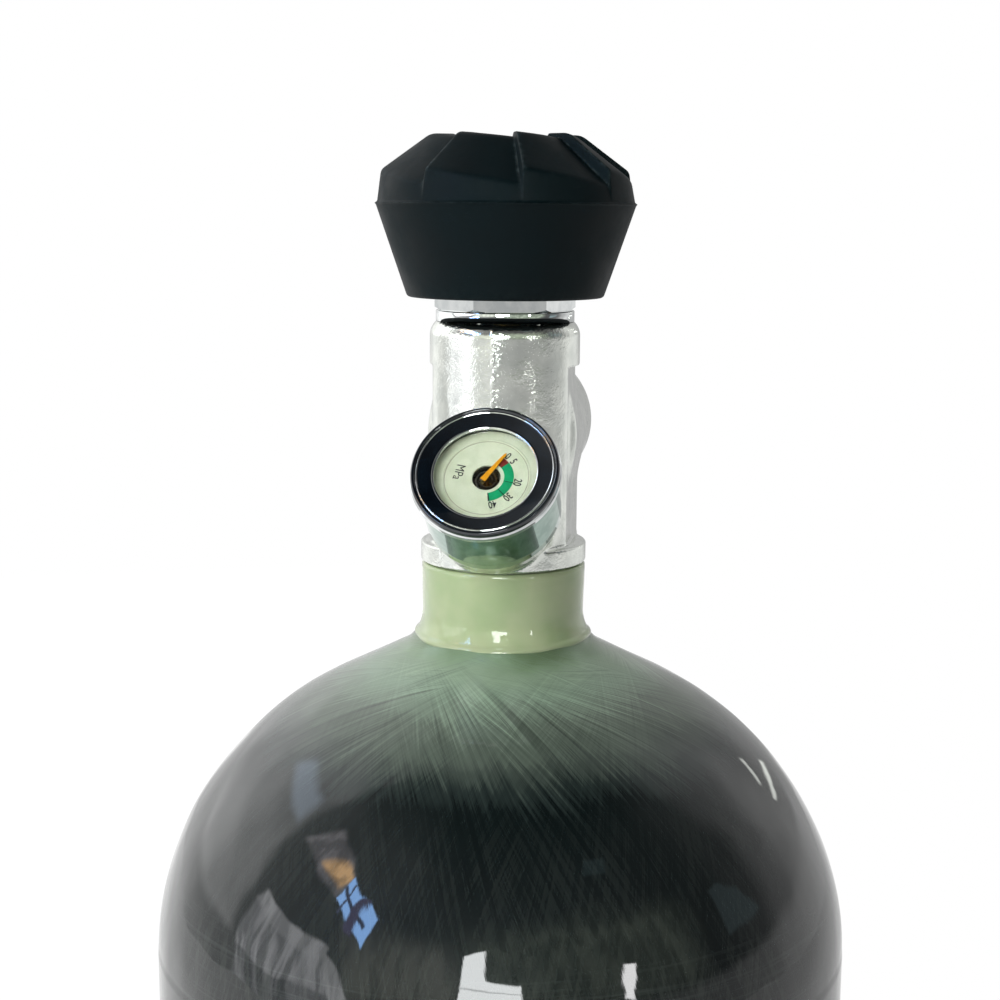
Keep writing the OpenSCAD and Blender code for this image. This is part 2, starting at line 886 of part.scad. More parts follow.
function spring_point(turn, radius, drop) =
    let (
        travel = hub_h - hub_floor_h - 2 * spring_wire_r - 2 * seat_gap,
        z = hub_z + hub_floor_h + seat_gap + spring_wire_r + travel * turn / (360 * spring_turns)
    )
    [(spring_r + radius) * cos(turn), (spring_r + radius) * sin(turn), z + drop];

module handwheel_spring() {
    count = spring_turns * spring_steps;
    points = [
        for (j = [0:count])
            for (i = [0:spring_sides - 1])
                let (a = 360 * i / spring_sides)
                spring_point(360 * j / spring_steps, spring_wire_r * cos(a), spring_wire_r * sin(a))
    ];
    tube = [
        for (j = [0:count - 1])
            for (i = [0:spring_sides - 1])
                let (
                    a = j * spring_sides + i,
                    b = j * spring_sides + (i + 1) % spring_sides
                )
                each [[a, a + spring_sides, b], [b, a + spring_sides, b + spring_sides]]
    ];
    first = [[for (i = [0:spring_sides - 1]) i]];
    last = [[for (i = [spring_sides - 1:-1:0]) count * spring_sides + i]];
    color([0.72, 0.73, 0.75])
        polyhedron(points = points, faces = concat(tube, first, last), convexity = 10);
}

module handwheel_nut() {
    nut_z = hub_top_z + seat_gap;
    color([0.75, 0.76, 0.78])
        difference() {
            union() {
                rod(wheel_nut_flange_r, nut_z, wheel_nut_flange_h);
                hexagon(wheel_nut_af, nut_z + wheel_nut_flange_h / 2, wheel_nut_h, wheel_nut_chamfer);
            }
            rod(spindle_end_r + thread_gap, nut_z - over, wheel_nut_flange_h + wheel_nut_h + 2 * over);
        }
}

// Gauge

module gauge_case() {
    color([0.72, 0.73, 0.74])
        on_gauge_axis()
            difference() {
                rod(case_r, case_t, case_top_t - case_t);
                rod(case_r - case_wall, case_t + case_floor, case_top_t - case_t);
                rod(socket_r + thread_gap, case_t - over, case_floor + 2 * over);
            }
}

module gauge_bezel() {
    r = bezel_d / 2;
    color([0.10, 0.11, 0.12])
        on_gauge_axis()
            rotate_extrude()
                polygon(concat(
                    [[crystal_seat_r, bezel_t + seat_gap / 2], [r, bezel_t + seat_gap / 2]],
                    [for (i = [0:edge_steps])
                        let (t = bead_turn * i / edge_steps)
                        [r - bead_r + bead_r * cos(t), gauge_reach - bead_r + bead_r * sin(t)]],
                    [
                        [window_r + lip_edge, lip_z + lip_t],
                        [window_r, lip_z + lip_t - lip_edge],
                        [window_r, lip_z],
                        [crystal_seat_r, lip_z]
                    ]
                ));
}

module gauge_crystal() {
    color([0.85, 0.92, 0.92, 0.35])
        on_gauge_axis()
            rod(crystal_r, crystal_z, crystal_t);
}

module case_gasket() {
    color([0.15, 0.15, 0.15])
        on_gauge_axis()
            ring(case_r - case_wall - gasket_over, crystal_r, case_top_t, gasket_t);
}

// A sector of a ring between two angles, drawn flat
module band(inner_r, outer_r, from, to) {
    steps = ceil(abs(to - from) / 6);
    polygon(concat(
        [for (i = [0:steps]) let (a = from + (to - from) * i / steps) outer_r * [cos(a), sin(a)]],
        [for (i = [steps:-1:0]) let (a = from + (to - from) * i / steps) inner_r * [cos(a), sin(a)]]
    ));
}

module gauge_dial() {
    color([0.82, 0.86, 0.72])
        on_gauge_axis()
            difference() {
                union() {
                    rod(dial_r, dial_z - dial_t, dial_t);
                    ring(
                        dial_step_r,
                        dial_step_r + dial_step_w,
                        dial_z - dial_t / 2,
                        dial_t / 2 + dial_step_h
                    );
                    // The coloured band and its dividers stand just proud of the dial
                    translate([0, 0, dial_z - dial_t / 2])
                        linear_extrude(dial_t / 2 + band_h)
                            band(band_in_d / 2, band_out_d / 2, zero_angle, zero_angle - needle_swing);
                    for (share = concat([red_share], ticks))
                        translate([0, 0, dial_z - dial_t / 2])
                            rotate([0, 0, zero_angle - needle_swing * share])
                                translate([band_in_d / 2, -tick_w / 2, 0])
                                    cube([(band_out_d - band_in_d) / 2, tick_w, dial_t / 2 + 2 * band_h]);
                }
                rod(dial_hole_d / 2, dial_z - dial_t - over, dial_t + 2 * over);
            }
}

module gauge_needle() {
    color([0.93, 0.65, 0.10])
        on_gauge_axis()
            rotate([0, 0, zero_angle])
                translate([0, 0, needle_z])
                    linear_extrude(needle_t)
                        polygon([
                            [-needle_tail, -needle_w / 2],
                            [needle_l - needle_tip_w, -needle_tip_w / 2],
                            [needle_l, 0],
                            [needle_l - needle_tip_w, needle_tip_w / 2],
                            [-needle_tail, needle_w / 2]
                        ]);
}

module needle_arbor() {
    color([0.78, 0.72, 0.50])
        on_gauge_axis()
            rod(arbor_r, case_t + arbor_lift, needle_z - case_t - arbor_lift);
}

function coil_radius(turn) = coil_in_r + (coil_out_r - coil_in_r) * turn / (360 * coil_turns);

// The flattened pressure tube, wound into a flat spiral
module bourdon_coil() {
    count = coil_turns * coil_steps;
    color([0.70, 0.55, 0.35])
        on_gauge_axis()
            translate([0, 0, coil_z])
                linear_extrude(coil_h)
                    polygon(concat(
                        [for (i = [0:count])
                            let (t = 360 * i / coil_steps)
                            (coil_radius(t) - coil_wall / 2) * [cos(t), sin(t)]],
                        [for (i = [count:-1:0])
                            let (t = 360 * i / coil_steps)
                            (coil_radius(t) + coil_wall / 2) * [cos(t), sin(t)]]
                    ));
}

module gauge_socket() {
    flange_t = case_t + case_floor + seat_gap;
    flange_h_t = 1;
    foot_w = 1.6;
    color([0.78, 0.72, 0.50])
        on_gauge_axis()
            difference() {
                union() {
                    rod(socket_r, socket_t + seal_t + seat_gap, flange_t - socket_t - seal_t);
                    rod(socket_r + 1, flange_t, flange_h_t);
                    rod(post_r, flange_t, coil_z - flange_t - post_gap);
                    // Foot that the outer end of the coil is brazed to
                    translate([coil_out_r + coil_wall / 2, -foot_w / 2, flange_t])
                        cube([foot_w, foot_w, coil_z + coil_h - flange_t]);
                    translate([0, -foot_w / 2, flange_t])
                        cube([coil_out_r + coil_wall / 2 + foot_w, foot_w, flange_h_t]);
                }
                rod(arbor_r + running_gap, case_t + arbor_lift - arbor_foot_gap, coil_z);
                rod(socket_way_d / 2, socket_t, case_t - socket_t);
            }
}

module gauge_seal() {
    color([0.72, 0.45, 0.25])
        on_gauge_axis()
            ring(gauge_way_d / 2 + seal_bore_gap, socket_r, socket_t + seat_gap / 2, seal_t - seat_gap / 2);
}

// Burst disc

module burst_plug() {
    plug_h = burst_depth - burst_gasket_t - burst_disc_t - 3 * seat_gap;
    key_r = burst_key_af / 2 / cos(30);
    color([0.80, 0.68, 0.40])
        on_burst_axis()
            difference() {
                rod(burst_r, burst_sink, plug_h - burst_sink);
                rod(key_r, -over, burst_key_h + over, 6);
                rod(burst_vent_d / 2, 0, plug_h + over);
            }
}

module burst_gasket() {
    color([0.72, 0.45, 0.25])
        on_burst_axis()
            ring(
                burst_vent_d / 2,
                burst_r - burst_edge,
                burst_depth - burst_gasket_t - seat_gap / 2,
                burst_gasket_t
            );
}

module burst_disc() {
    color([0.75, 0.76, 0.78])
        on_burst_axis()
            rod(
                burst_r - burst_edge,
                burst_depth - burst_gasket_t - burst_disc_t - 2 * seat_gap,
                burst_disc_t
            );
}

aluminium_liner();
carbon_overwrap();
glass_overwrap();
neck_sleeve();
valve_body();
neck_o_ring();
dip_tube();
gland_nut();
gland_seal();
upper_spindle();
spindle_o_ring();
thrust_washer();
lower_spindle();
seat_insert();
handwheel_hub();
handwheel_grip();
handwheel_spring();
handwheel_nut();
gauge_case();
gauge_bezel();
gauge_crystal();
gauge_dial();
gauge_needle();
needle_arbor();
bourdon_coil();
gauge_socket();
gauge_seal();
case_gasket();
burst_plug();
burst_disc();
burst_gasket();
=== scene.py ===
import json
import math

import bpy
import numpy as np
from mathutils import Matrix, Vector


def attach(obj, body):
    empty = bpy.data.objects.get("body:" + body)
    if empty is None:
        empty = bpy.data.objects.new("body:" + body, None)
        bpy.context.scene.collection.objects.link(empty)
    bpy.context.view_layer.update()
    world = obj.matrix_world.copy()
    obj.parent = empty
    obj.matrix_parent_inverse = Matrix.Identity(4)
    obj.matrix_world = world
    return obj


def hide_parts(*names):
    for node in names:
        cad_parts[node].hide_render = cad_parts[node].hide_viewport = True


MM = 0.001
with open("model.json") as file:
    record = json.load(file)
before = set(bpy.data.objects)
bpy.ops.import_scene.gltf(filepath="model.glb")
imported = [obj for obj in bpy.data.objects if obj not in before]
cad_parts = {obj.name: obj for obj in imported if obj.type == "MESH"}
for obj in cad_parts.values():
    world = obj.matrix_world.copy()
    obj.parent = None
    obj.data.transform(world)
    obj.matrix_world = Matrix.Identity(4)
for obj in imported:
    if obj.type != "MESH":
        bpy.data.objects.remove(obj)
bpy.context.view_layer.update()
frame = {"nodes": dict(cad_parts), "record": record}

# Sizes of the part, in millimetres: the CAD's own, and the few that only this model has
TANK_R = 78.5
SHOULDER_RISE = 70.0
SHOULDER_Z = 436.5
CONE_R = 38.0
SWEEP_R = 10.0
NECK_R = 18.05
NECK_TOP_R = 18.35
SLEEVE_FOOT_Z = 508.0
LINER_NECK_R = 15.65
FOOT_R = 44.0
FOOT_RISE = 40.0
DISH_R = 24.0
DISH_H = 3.0
TAIL_R = 11.0
GLASS_T = 1.2
FLANGE_Z = 525.0
FLANGE_R = 18.5
FLANGE_H = 4.4
PILLAR_R = 16.6
PILLAR_EDGE_R = 4.2
DRAFT = 0.45
FLASH_H = 0.16
FLASH_W = 0.35
PILLAR_H = 55.8
CROWN_Z = 579.4
COLLAR_R = 15.3
FLAT_X = 15.0
FLATS_H = 43.8
BACK_Y = 16.0
BACK_H = 28.0
OUTLET_Z = 553.5
OUTLET_R = 16.5
OUTLET_Y = 30.0
OUTLET_BORE_R = 10.2935
OUTLET_ROOT_R = 11.4555
OUTLET_DEPTH = 15.0
OUTLET_PITCH = 1.814
GAUGE_Z = 526.4
GAUGE_TILT = 40.0
GAUGE_BOSS_R = 14.8
BOSS_T = 18.8
BEZEL_R = 16.0
BEZEL_T = 32.5
GAUGE_REACH = 35.2
WINDOW_R = 10.9
DIAL_T = 31.5
DIAL_R = 11.55
ZERO_ANGLE = 57.0
SWING = 136.0
WHEEL_Z = 583.6
PARTING_Z = 603.8
WHEEL_BOTTOM_R = 21.6
WHEEL_R = 28.4
FLASH = 0.3
RAMPS = 8
RAMP_TURN = 16.2
RISER = 1.6
BURST_X = -15.0
BURST_Y = 2.0
BURST_Z = 536.0
NECK_THREAD_R = 9.0
NECK_THREAD_ROOT_R = 8.1
NECK_THREAD_H = 22.0
NECK_THREAD_PITCH = 1.5
POCKET_R = 17.6
POCKET_Z = 589.4
HUB_R = 12.6
HUB_TOP_Z = 605.05
HUB_FLANGE_R = 15.05
HUB_FLANGE_Z = 592.05


# Meshes

def new_object(name, mesh):
    obj = bpy.data.objects.new(name, mesh)
    bpy.context.scene.collection.objects.link(obj)
    return obj


def mesh_from(name, points, faces, smooth=True):
    """A mesh object from points in millimetres."""
    mesh = bpy.data.meshes.new(name)
    mesh.from_pydata((np.asarray(points) * MM).tolist(), [], faces)
    mesh.polygons.foreach_set("use_smooth", [smooth] * len(mesh.polygons))
    mesh.update()
    return new_object(name, mesh)


def tube_faces(rows, cols, closed_rows=False):
    """Faces of a grid whose columns close on themselves, seen from outside for rows that rise."""
    faces = []
    for i in range(rows if closed_rows else rows - 1):
        k = (i + 1) % rows
        for j in range(cols):
            n = (j + 1) % cols
            faces.append((i * cols + j, i * cols + n, k * cols + n, k * cols + j))
    return faces


def revolve(name, profile, cols=128, closed=False, matrix=None, smooth=True):
    """Turns a profile of (radius, height) round Z, in millimetres."""
    turn = np.linspace(0, 2 * np.pi, cols, endpoint=False)
    p = np.asarray(profile, dtype=float)
    points = np.stack([
        np.outer(p[:, 0], np.cos(turn)),
        np.outer(p[:, 0], np.sin(turn)),
        np.repeat(p[:, 1:2], cols, axis=1),
    ], axis=-1).reshape(-1, 3)
    obj = mesh_from(name, points, tube_faces(len(p), cols, closed), smooth)
    if matrix is not None:
        obj.data.transform(matrix)
    return obj


def rounded(points, radii, steps=5):
    """A polyline whose inner corners are rounded by the given radii."""
    p = [np.asarray(q, dtype=float) for q in points]
    out = [p[0]]
    for i in range(1, len(p) - 1):
        a, b, c = p[i - 1], p[i], p[i + 1]
        to_a, to_c = a - b, c - b
        la, lc = np.linalg.norm(to_a), np.linalg.norm(to_c)
        cut = min(radii[i], 0.45 * la, 0.45 * lc)
        s, e = b + to_a / la * cut, b + to_c / lc * cut
        for k in range(steps + 1):
            t = k / steps
            out.append((1 - t) ** 2 * s + 2 * t * (1 - t) * b + t * t * e)
    out.append(p[-1])
    return np.array(out)


def resample(points, longest):
    """Adds points so that no stretch of a polyline is longer than the given length."""
    out = [points[0]]
    for a, b in zip(points[:-1], points[1:]):
        n = max(1, int(math.ceil(np.linalg.norm(b - a) / longest)))
        out += [a + (b - a) * (k + 1) / n for k in range(n)]
    return np.array(out)


def waves(points, count, longest, seed):
    """Smooth noise of about -1 to 1 at points in millimetres, from plane waves."""
    rng = np.random.default_rng(seed)
    total = np.zeros(len(points))
    for _ in range(count):
        way = rng.normal(size=3)
        way /= np.linalg.norm(way)
        length = longest * rng.uniform(0.6, 1.4)
        total += np.sin(points @ way * (2 * np.pi / length) + rng.uniform(0, 2 * np.pi))
    return total / math.sqrt(count)


def store(obj, name, values):
    """Keeps a number or a vector for each point, for the materials."""
    values = np.asarray(values, dtype=np.float32)
    kind, field = ("FLOAT_VECTOR", "vector") if values.ndim == 2 else ("FLOAT", "value")
    obj.data.attributes.new(name, kind, "POINT").data.foreach_set(field, values.ravel())


def points_of(obj):
    """An object's points, in millimetres."""
    co = np.empty(3 * len(obj.data.vertices))
    obj.data.vertices.foreach_get("co", co)
    return co.reshape(-1, 3) / MM


def move_points(obj, points):
    obj.data.vertices.foreach_set("co", (points * MM).ravel())
    obj.data.update()


def placed(place, degrees, axis):
    """A turn round one axis, and then a move to a place in millimetres."""
    return Matrix.Translation([v * MM for v in place]) @ Matrix.Rotation(math.radians(degrees), 4, axis)


gauge_frame = placed((0, 0, GAUGE_Z), 90 - GAUGE_TILT, "X")
outlet_frame = placed((0, 0, OUTLET_Z), -90, "X")
burst_frame = placed((BURST_X, BURST_Y, BURST_Z), -90, "Y")


# Materials

def srgb(r, g, b):
    """A colour as written in 0 to 255, for a shader."""
    def one(v):
        v /= 255
        return v / 12.92 if v <= 0.04045 else ((v + 0.055) / 1.055) ** 2.4
    return (one(r), one(g), one(b))


class Nodes:
    """Short calls that build up a tree of shader nodes, for a material or for the world."""

    def __init__(self, tree, output):
        self.tree = tree
        tree.nodes.clear()
        self.out = self.node(output)

    def node(self, kind, inputs=None, **settings):
        node = self.tree.nodes.new("ShaderNode" + kind)
        for key, value in settings.items():
            setattr(node, key, value)
        for socket, value in (inputs or {}).items():
            self.put(node, socket, value)
        return node

    def put(self, node, socket, value):
        """Links a node's socket to another one, or sets it."""
        into = node.inputs[socket]
        if isinstance(value, bpy.types.NodeSocket):
            self.tree.links.new(value, into)
        elif value is not None:
            into.default_value = (*value, 1) if into.type == "RGBA" else value

    def show(self, shader):
        self.put(self.out, "Surface", shader)

    def attribute(self, name, kind="Vector"):
        return self.node("Attribute", attribute_name=name).outputs[kind]

    def scaled(self, vector, by, offset=(0, 0, 0)):
        return self.node("Mapping", {"Vector": vector, "Scale": by, "Location": offset}).outputs[0]

    def noise(self, vector, scale, detail=2.0, rough=0.5, distort=0.0):
        return self.node("TexNoise", {
            "Vector": vector, "Scale": scale, "Detail": detail, "Roughness": rough, "Distortion": distort,
        }).outputs["Fac"]

    def ramp(self, value, low, high, to_low=0.0, to_high=1.0, smooth=True):
        """Carries a value from one range to another, and stops at the ends."""
        return self.node("MapRange", {
            "Value": value, "From Min": low, "From Max": high, "To Min": to_low, "To Max": to_high,
        }, interpolation_type="SMOOTHSTEP" if smooth else "LINEAR").outputs["Result"]

    def math(self, kind, a, b=None, c=None, clamp=False):
        return self.node("Math", {0: a, 1: b, 2: c}, operation=kind, use_clamp=clamp).outputs[0]

    def plus(self, a, b):
        return self.math("ADD", a, b)

    def minus(self, a, b):
        return self.math("SUBTRACT", a, b)

    def times(self, a, b):
        return self.math("MULTIPLY", a, b)

    def between(self, share, a, b):
        """From one number to another, by a share from 0 to 1."""
        return self.plus(self.times(self.minus(1.0, share), a), self.times(share, b))

    def vector(self, kind, a, b):
        """Arithmetic on vectors and colours."""
        node = self.node("VectorMath", {0: a, "Scale" if kind == "SCALE" else 1: b}, operation=kind)
        return node.outputs["Value" if kind == "DOT_PRODUCT" else "Vector"]

    def split(self, vector):
        return self.node("SeparateXYZ", {0: vector}).outputs

    def mix(self, share, a, b):
        return self.node("Mix", {0: share, 6: a, 7: b}, data_type="RGBA").outputs[2]

    def tones(self, value, dark, light):
        """A colour by a noise, between two that are written in 0 to 255."""
        return self.mix(self.ramp(value, 0.3, 0.7), srgb(*dark), srgb(*light))

    def colours(self, value, stops):
        """A colour by a value from 0 to 1, through the given stops."""
        node = self.node("ValToRGB", {0: value})
        band = node.color_ramp
        band.interpolation = "EASE"
        band.elements.remove(band.elements[0])
        for k, (place, colour) in enumerate(stops):
            stop = band.elements.new(place) if k else band.elements[0]
            stop.position = place
            stop.color = (*colour, 1)
        return node.outputs[0]

    def bump(self, height, strength, distance, normal=None):
        return self.node("Bump", {
            "Height": height, "Strength": strength, "Distance": distance, "Normal": normal,
        }).outputs[0]

    def ray(self, kind):
        return self.node("LightPath").outputs[f"Is {kind} Ray"]

    def seen(self):
        """1 for what is looked at, straight, in a gloss or through glass, and 0 for what only gives light."""
        looked = self.math("MAXIMUM", self.ray("Camera"), self.ray("Glossy"))
        return self.math("MAXIMUM", looked, self.ray("Transmission"))

    def mix_shader(self, share, a, b):
        return self.node("MixShader", {0: share, 1: a, 2: b}).outputs[0]


class Shade(Nodes):
    """A material that is built up from a Principled shader."""

    def __init__(self, name, **values):
        self.mat = bpy.data.materials.new(name)
        self.mat.use_nodes = True
        super().__init__(self.mat.node_tree, "OutputMaterial")
        self.bsdf = self.node("BsdfPrincipled")
        self.show(self.bsdf.outputs["BSDF"])
        self.where = self.node("TexCoord").outputs["Object"]
        self.set(**values)

    def set(self, **values):
        """Sets the shader's own sockets, or links them."""
        for socket, value in values.items():
            self.put(self.bsdf, socket.replace("_", " "), value)


def dress(obj, shade):
    obj.data.materials.clear()
    obj.data.materials.append(shade.mat)


def metal(name, colour, rough, stretch=8):
    """Turned metal, with a fine grain that is drawn out round its axis."""
    s = Shade(name, Metallic=1.0)
    colour = srgb(*colour)
    fine = s.noise(s.scaled(s.where, (1, 1, stretch)), 900.0, 3.0, 0.6)
    broad = s.noise(s.where, 60.0)
    s.set(
        Base_Color=s.mix(s.ramp(broad, 0.35, 0.65), tuple(0.9 * c for c in colour), colour),
        Roughness=s.ramp(fine, 0.3, 0.7, rough * 0.8, rough * 1.25),
        Normal=s.bump(fine, 0.25, 0.02 * MM),
    )
    return s


def sandy_chrome():
    """Chrome over a forged skin: mirror bright, faintly pebbled."""
    s = Shade("forged_chrome", Metallic=1.0)
    pebble = s.noise(s.where, 1250.0, 2.0, 0.6)
    sand = s.noise(s.where, 2900.0, 1.5, 0.6)
    swell = s.noise(s.where, 220.0)
    height = s.plus(s.times(pebble, 0.7), s.times(sand, 0.3))
    patch = s.ramp(s.noise(s.where, 130.0), 0.38, 0.6, 0.35, 1.25)
    first = s.bump(s.times(height, patch), 0.9, 0.12 * MM)
    s.set(
        Base_Color=s.tones(swell, (218, 222, 216), (236, 239, 232)),
        Roughness=s.ramp(pebble, 0.3, 0.7, 0.06, 0.14),
        Normal=s.bump(swell, 0.35, 0.16 * MM, first),
    )
    return s


def mirror_chrome(name, low=(216, 220, 220), high=(232, 235, 234)):
    s = Shade(name, Metallic=1.0)
    haze = s.noise(s.where, 400.0, 3.0)
    lathe = s.noise(s.scaled(s.where, (1, 1, 6)), 500.0)
    s.set(
        Base_Color=s.tones(haze, low, high),
        Roughness=s.ramp(haze, 0.35, 0.7, 0.03, 0.07),
        Normal=s.bump(lathe, 0.12, 0.02 * MM),
    )
    return s


def black_chrome():
    s = Shade("black_chrome", Metallic=0.35, Coat_Weight=1.0, Coat_Roughness=0.03, Coat_IOR=1.6)
    haze = s.noise(s.where, 300.0, 3.0)
    s.set(
        Base_Color=s.tones(haze, (8, 16, 24), (14, 26, 36)),
        Roughness=s.ramp(haze, 0.3, 0.7, 0.10, 0.18),
    )
    return s


def rubber():
    """Matte black rubber with a cool cast, fine moulded grain, scuffs, and a pale colour on its sharp edges
    that is partly dust and partly a painted highlight.
    """
    s = Shade("grip_rubber", Specular_IOR_Level=0.12)
    grain = s.noise(s.where, 2600.0, 2.0, 0.6)
    cloud = s.noise(s.where, 90.0, 4.0, 0.6)
    scratch = s.noise(s.scaled(s.where, (1, 1, 9)), 420.0, 4.0, 0.7, 1.2)
    marks = s.times(s.ramp(scratch, 0.62, 0.72), s.ramp(cloud, 0.45, 0.65))
    # Pale where the rubber bends sharply: partly dust and wear, partly a painted edge highlight
    dust_and_sheen = s.times(s.attribute("edge_wear_and_sheen", "Fac"), s.ramp(s.noise(s.where, 700.0, 4.0, 0.7), 0.4, 0.7))
    pale = s.math("MAXIMUM", s.times(marks, 0.45), s.times(dust_and_sheen, 0.8), clamp=True)
    s.set(
        Base_Color=s.mix(pale, s.tones(cloud, (2, 13, 16), (5, 18, 21)), srgb(52, 62, 63)),
        Roughness=s.ramp(cloud, 0.3, 0.7, 0.48, 0.62),
        Normal=s.bump(cloud, 0.25, 0.3 * MM, s.bump(grain, 0.35, 0.05 * MM)),
    )
    return s


def soft_rubber():
    s = Shade("black_rubber", Specular_IOR_Level=0.35, Roughness=0.5)
    grain = s.noise(s.where, 1800.0, 3.0)
    s.set(
        Base_Color=s.mix(grain, srgb(22, 22, 22), srgb(40, 40, 40)),
        Normal=s.bump(grain, 0.3, 0.04 * MM),
    )
    return s


def nylon():
    s = Shade("nylon", Roughness=0.45, Subsurface_Weight=0.2, Subsurface_Scale=0.002)
    cloud = s.noise(s.where, 300.0, 3.0)
    s.set(
        Base_Color=s.mix(cloud, srgb(226, 220, 200), srgb(240, 236, 222)),
        Normal=s.bump(cloud, 0.2, 0.04 * MM),
    )
    return s


# Two families of fibres, by how near the axis each comes, and the winding's colour by its radius, whose first
# and darkest stop, just under the sleeve's foot, is a painted shadow of the sleeve
FAMILIES = (19.0, 26.0)
LOOKS = (
    (20.0, (0.120, 0.180, 0.095)), (21.5, (0.190, 0.280, 0.170)), (25.0, (0.245, 0.335, 0.235)),
    (31.0, (0.232, 0.318, 0.234)), (36.0, (0.182, 0.242, 0.182)), (41.0, (0.118, 0.152, 0.118)),
    (46.0, (0.086, 0.112, 0.088)), (50.0, (0.050, 0.066, 0.055)), (54.5, (0.018, 0.027, 0.025)),
    (59.0, (0.0045, 0.0085, 0.0085)), (80.0, (0.0035, 0.0065, 0.0070)),
)
LOOK_SPAN = 80.0


def wound_glass():
    """Clear glass fibre and resin over black carbon. The fibres show milky where they crowd round
    the neck, in tows that lie over each other, and the carbon shows black through them further out."""
    s = Shade(
        "wound_glass",
        Coat_Weight=1.0, Coat_Roughness=0.02, Coat_IOR=1.5, Specular_IOR_Level=0.06,
    )
    out = s.attribute("out", "Fac")
    sides = []
    for n, side in enumerate("ab"):
        layers = []
        for k in range(len(FAMILIES)):
            seed = 3.7 * k + 1.9 * n
            turn = s.attribute(f"wind_{k}{side}")
            strand = s.noise(s.scaled(turn, (56, 56, 0.014), (seed, 0, 0)), 1.0, 3.0, 0.85)
            tow = s.noise(s.scaled(turn, (9, 9, 0.02), (0, seed, 5)), 1.0, 1.0)
            layers.append(s.plus(s.times(strand, 0.85), s.times(tow, 0.15)))
        patch = s.noise(s.scaled(s.attribute(f"wind_0{side}"), (3.2, 3.2, 0.022), (7, n, 0)), 1.0, 1.0)
        sides.append(s.between(s.ramp(patch, 0.44, 0.56), *layers))
    # Which side's tows lie on top, sector by sector, with a ragged change from one to the other
    drift = s.times(s.minus(s.noise(s.where, 26.0), 0.5), 1.8)
    over = s.ramp(s.plus(s.attribute("laid", "Fac"), drift), -0.25, 0.25, 0.22, 0.78)
    lines = s.minus(s.between(over, *sides), 0.5)
    faded = s.times(lines, s.ramp(s.noise(s.where, 95.0), 0.3, 0.65, 0.45, 1.2))
    veil = s.times(s.minus(s.noise(s.where, 48.0, 3.0, 0.6), 0.5), 13.0)
    reach = s.plus(s.plus(s.times(out, LOOK_SPAN), s.times(faded, -26.0)), veil)
    ground = s.colours(s.times(reach, 1 / LOOK_SPAN), [(r / LOOK_SPAN, c) for r, c in LOOKS])
    light = s.ramp(s.times(faded, s.ramp(out, 0.3, 0.75, 1.0, 0.55)), -0.18, 0.18, 0.46, 1.70, False)
    colour = s.vector("MULTIPLY", ground, light)
    # Carbon tows under the low shoulder, and hoops under the straight wall
    wall = s.ramp(out, 0.93, 0.985)
    far = s.times(s.ramp(out, 0.66, 0.85), s.ramp(wall, 0.0, 1.0, 0.4, 1.0))
    tows = s.plus(*sides)
    hoops = s.noise(s.scaled(s.where, (14, 14, 900)), 1.0, 3.0, 0.65)
    colour = s.mix(s.times(far, s.ramp(tows, 0.94, 1.16, 0.0, 0.85)), colour, srgb(46, 51, 48))
    colour = s.mix(s.times(wall, s.ramp(hoops, 0.5, 0.75, 0.0, 0.6)), colour, srgb(62, 68, 66))
    fibre = s.plus(s.times(lines, 0.7), s.times(hoops, 0.3))
    ridges = s.times(lines, s.ramp(out, 0.45, 0.75, 1.0, 0.12))
    wobble = s.bump(s.noise(s.where, 70.0, 2.0, 0.45), 0.5, 0.35 * MM)
    s.set(
        Base_Color=colour,
        Roughness=s.ramp(tows, 0.8, 1.2, 0.36, 0.5),
        Normal=s.bump(fibre, 0.3, 0.05 * MM),
        Coat_Normal=s.bump(ridges, 0.6, 0.07 * MM, wobble),
    )
    return s


def green_resin():
    """The sleeve on the neck: pale green glass fibre soaked in resin."""
    s = Shade(
        "sleeve_resin",
        Coat_Weight=1.0, Coat_Roughness=0.04, Coat_IOR=1.44, Specular_IOR_Level=0.25,
        Subsurface_Weight=0.35, Subsurface_Scale=0.006, Subsurface_Radius=(0.8, 1.0, 0.7),
    )
    cloud = s.noise(s.where, 70.0, 3.0, 0.55)
    stripe = s.noise(s.scaled(s.where, (30, 30, 420)), 1.0, 3.0, 0.6)
    colour = s.tones(cloud, (168, 188, 140), (186, 198, 156))
    s.set(
        Base_Color=s.mix(s.ramp(stripe, 0.55, 0.8, 0.0, 0.25), colour, srgb(150, 172, 122)),
        Roughness=s.ramp(cloud, 0.3, 0.7, 0.28, 0.42),
        Coat_Normal=s.bump(s.noise(s.where, 110.0), 0.3, 0.3 * MM),
    )
    return s


def carbon():
    s = Shade("carbon_fibre", Coat_Weight=0.6, Coat_Roughness=0.1, Roughness=0.4)
    strand = s.noise(s.scaled(s.where, (20, 20, 1300)), 1.0, 3.0, 0.6)
    s.set(
        Base_Color=s.mix(strand, srgb(16, 17, 19), srgb(48, 50, 54)),
        Normal=s.bump(strand, 0.3, 0.05 * MM),
    )
    return s


def window_glass():
    """Clear flat glass that lets the lamps through to the dial."""
    s = Shade("window_glass", Transmission_Weight=1.0, IOR=1.5)
    smear = s.noise(s.where, 260.0, 3.0)
    s.set(
        Base_Color=s.mix(smear, (0.97, 0.99, 0.98), (1.0, 1.0, 1.0)),
        Roughness=s.ramp(smear, 0.4, 0.7, 0.0, 0.02),
    )
    clear = s.node("BsdfTransparent").outputs[0]
    s.show(s.mix_shader(s.ray("Shadow"), s.bsdf.outputs[0], clear))
    return s


def paint(name, dark, light, rough=0.45, scale=500.0):
    s = Shade(name, Roughness=rough)
    cloud = s.noise(s.where, scale, 3.0, 0.6)
    s.set(Base_Color=s.tones(cloud, dark, light), Normal=s.bump(cloud, 0.15, 0.02 * MM))
    return s


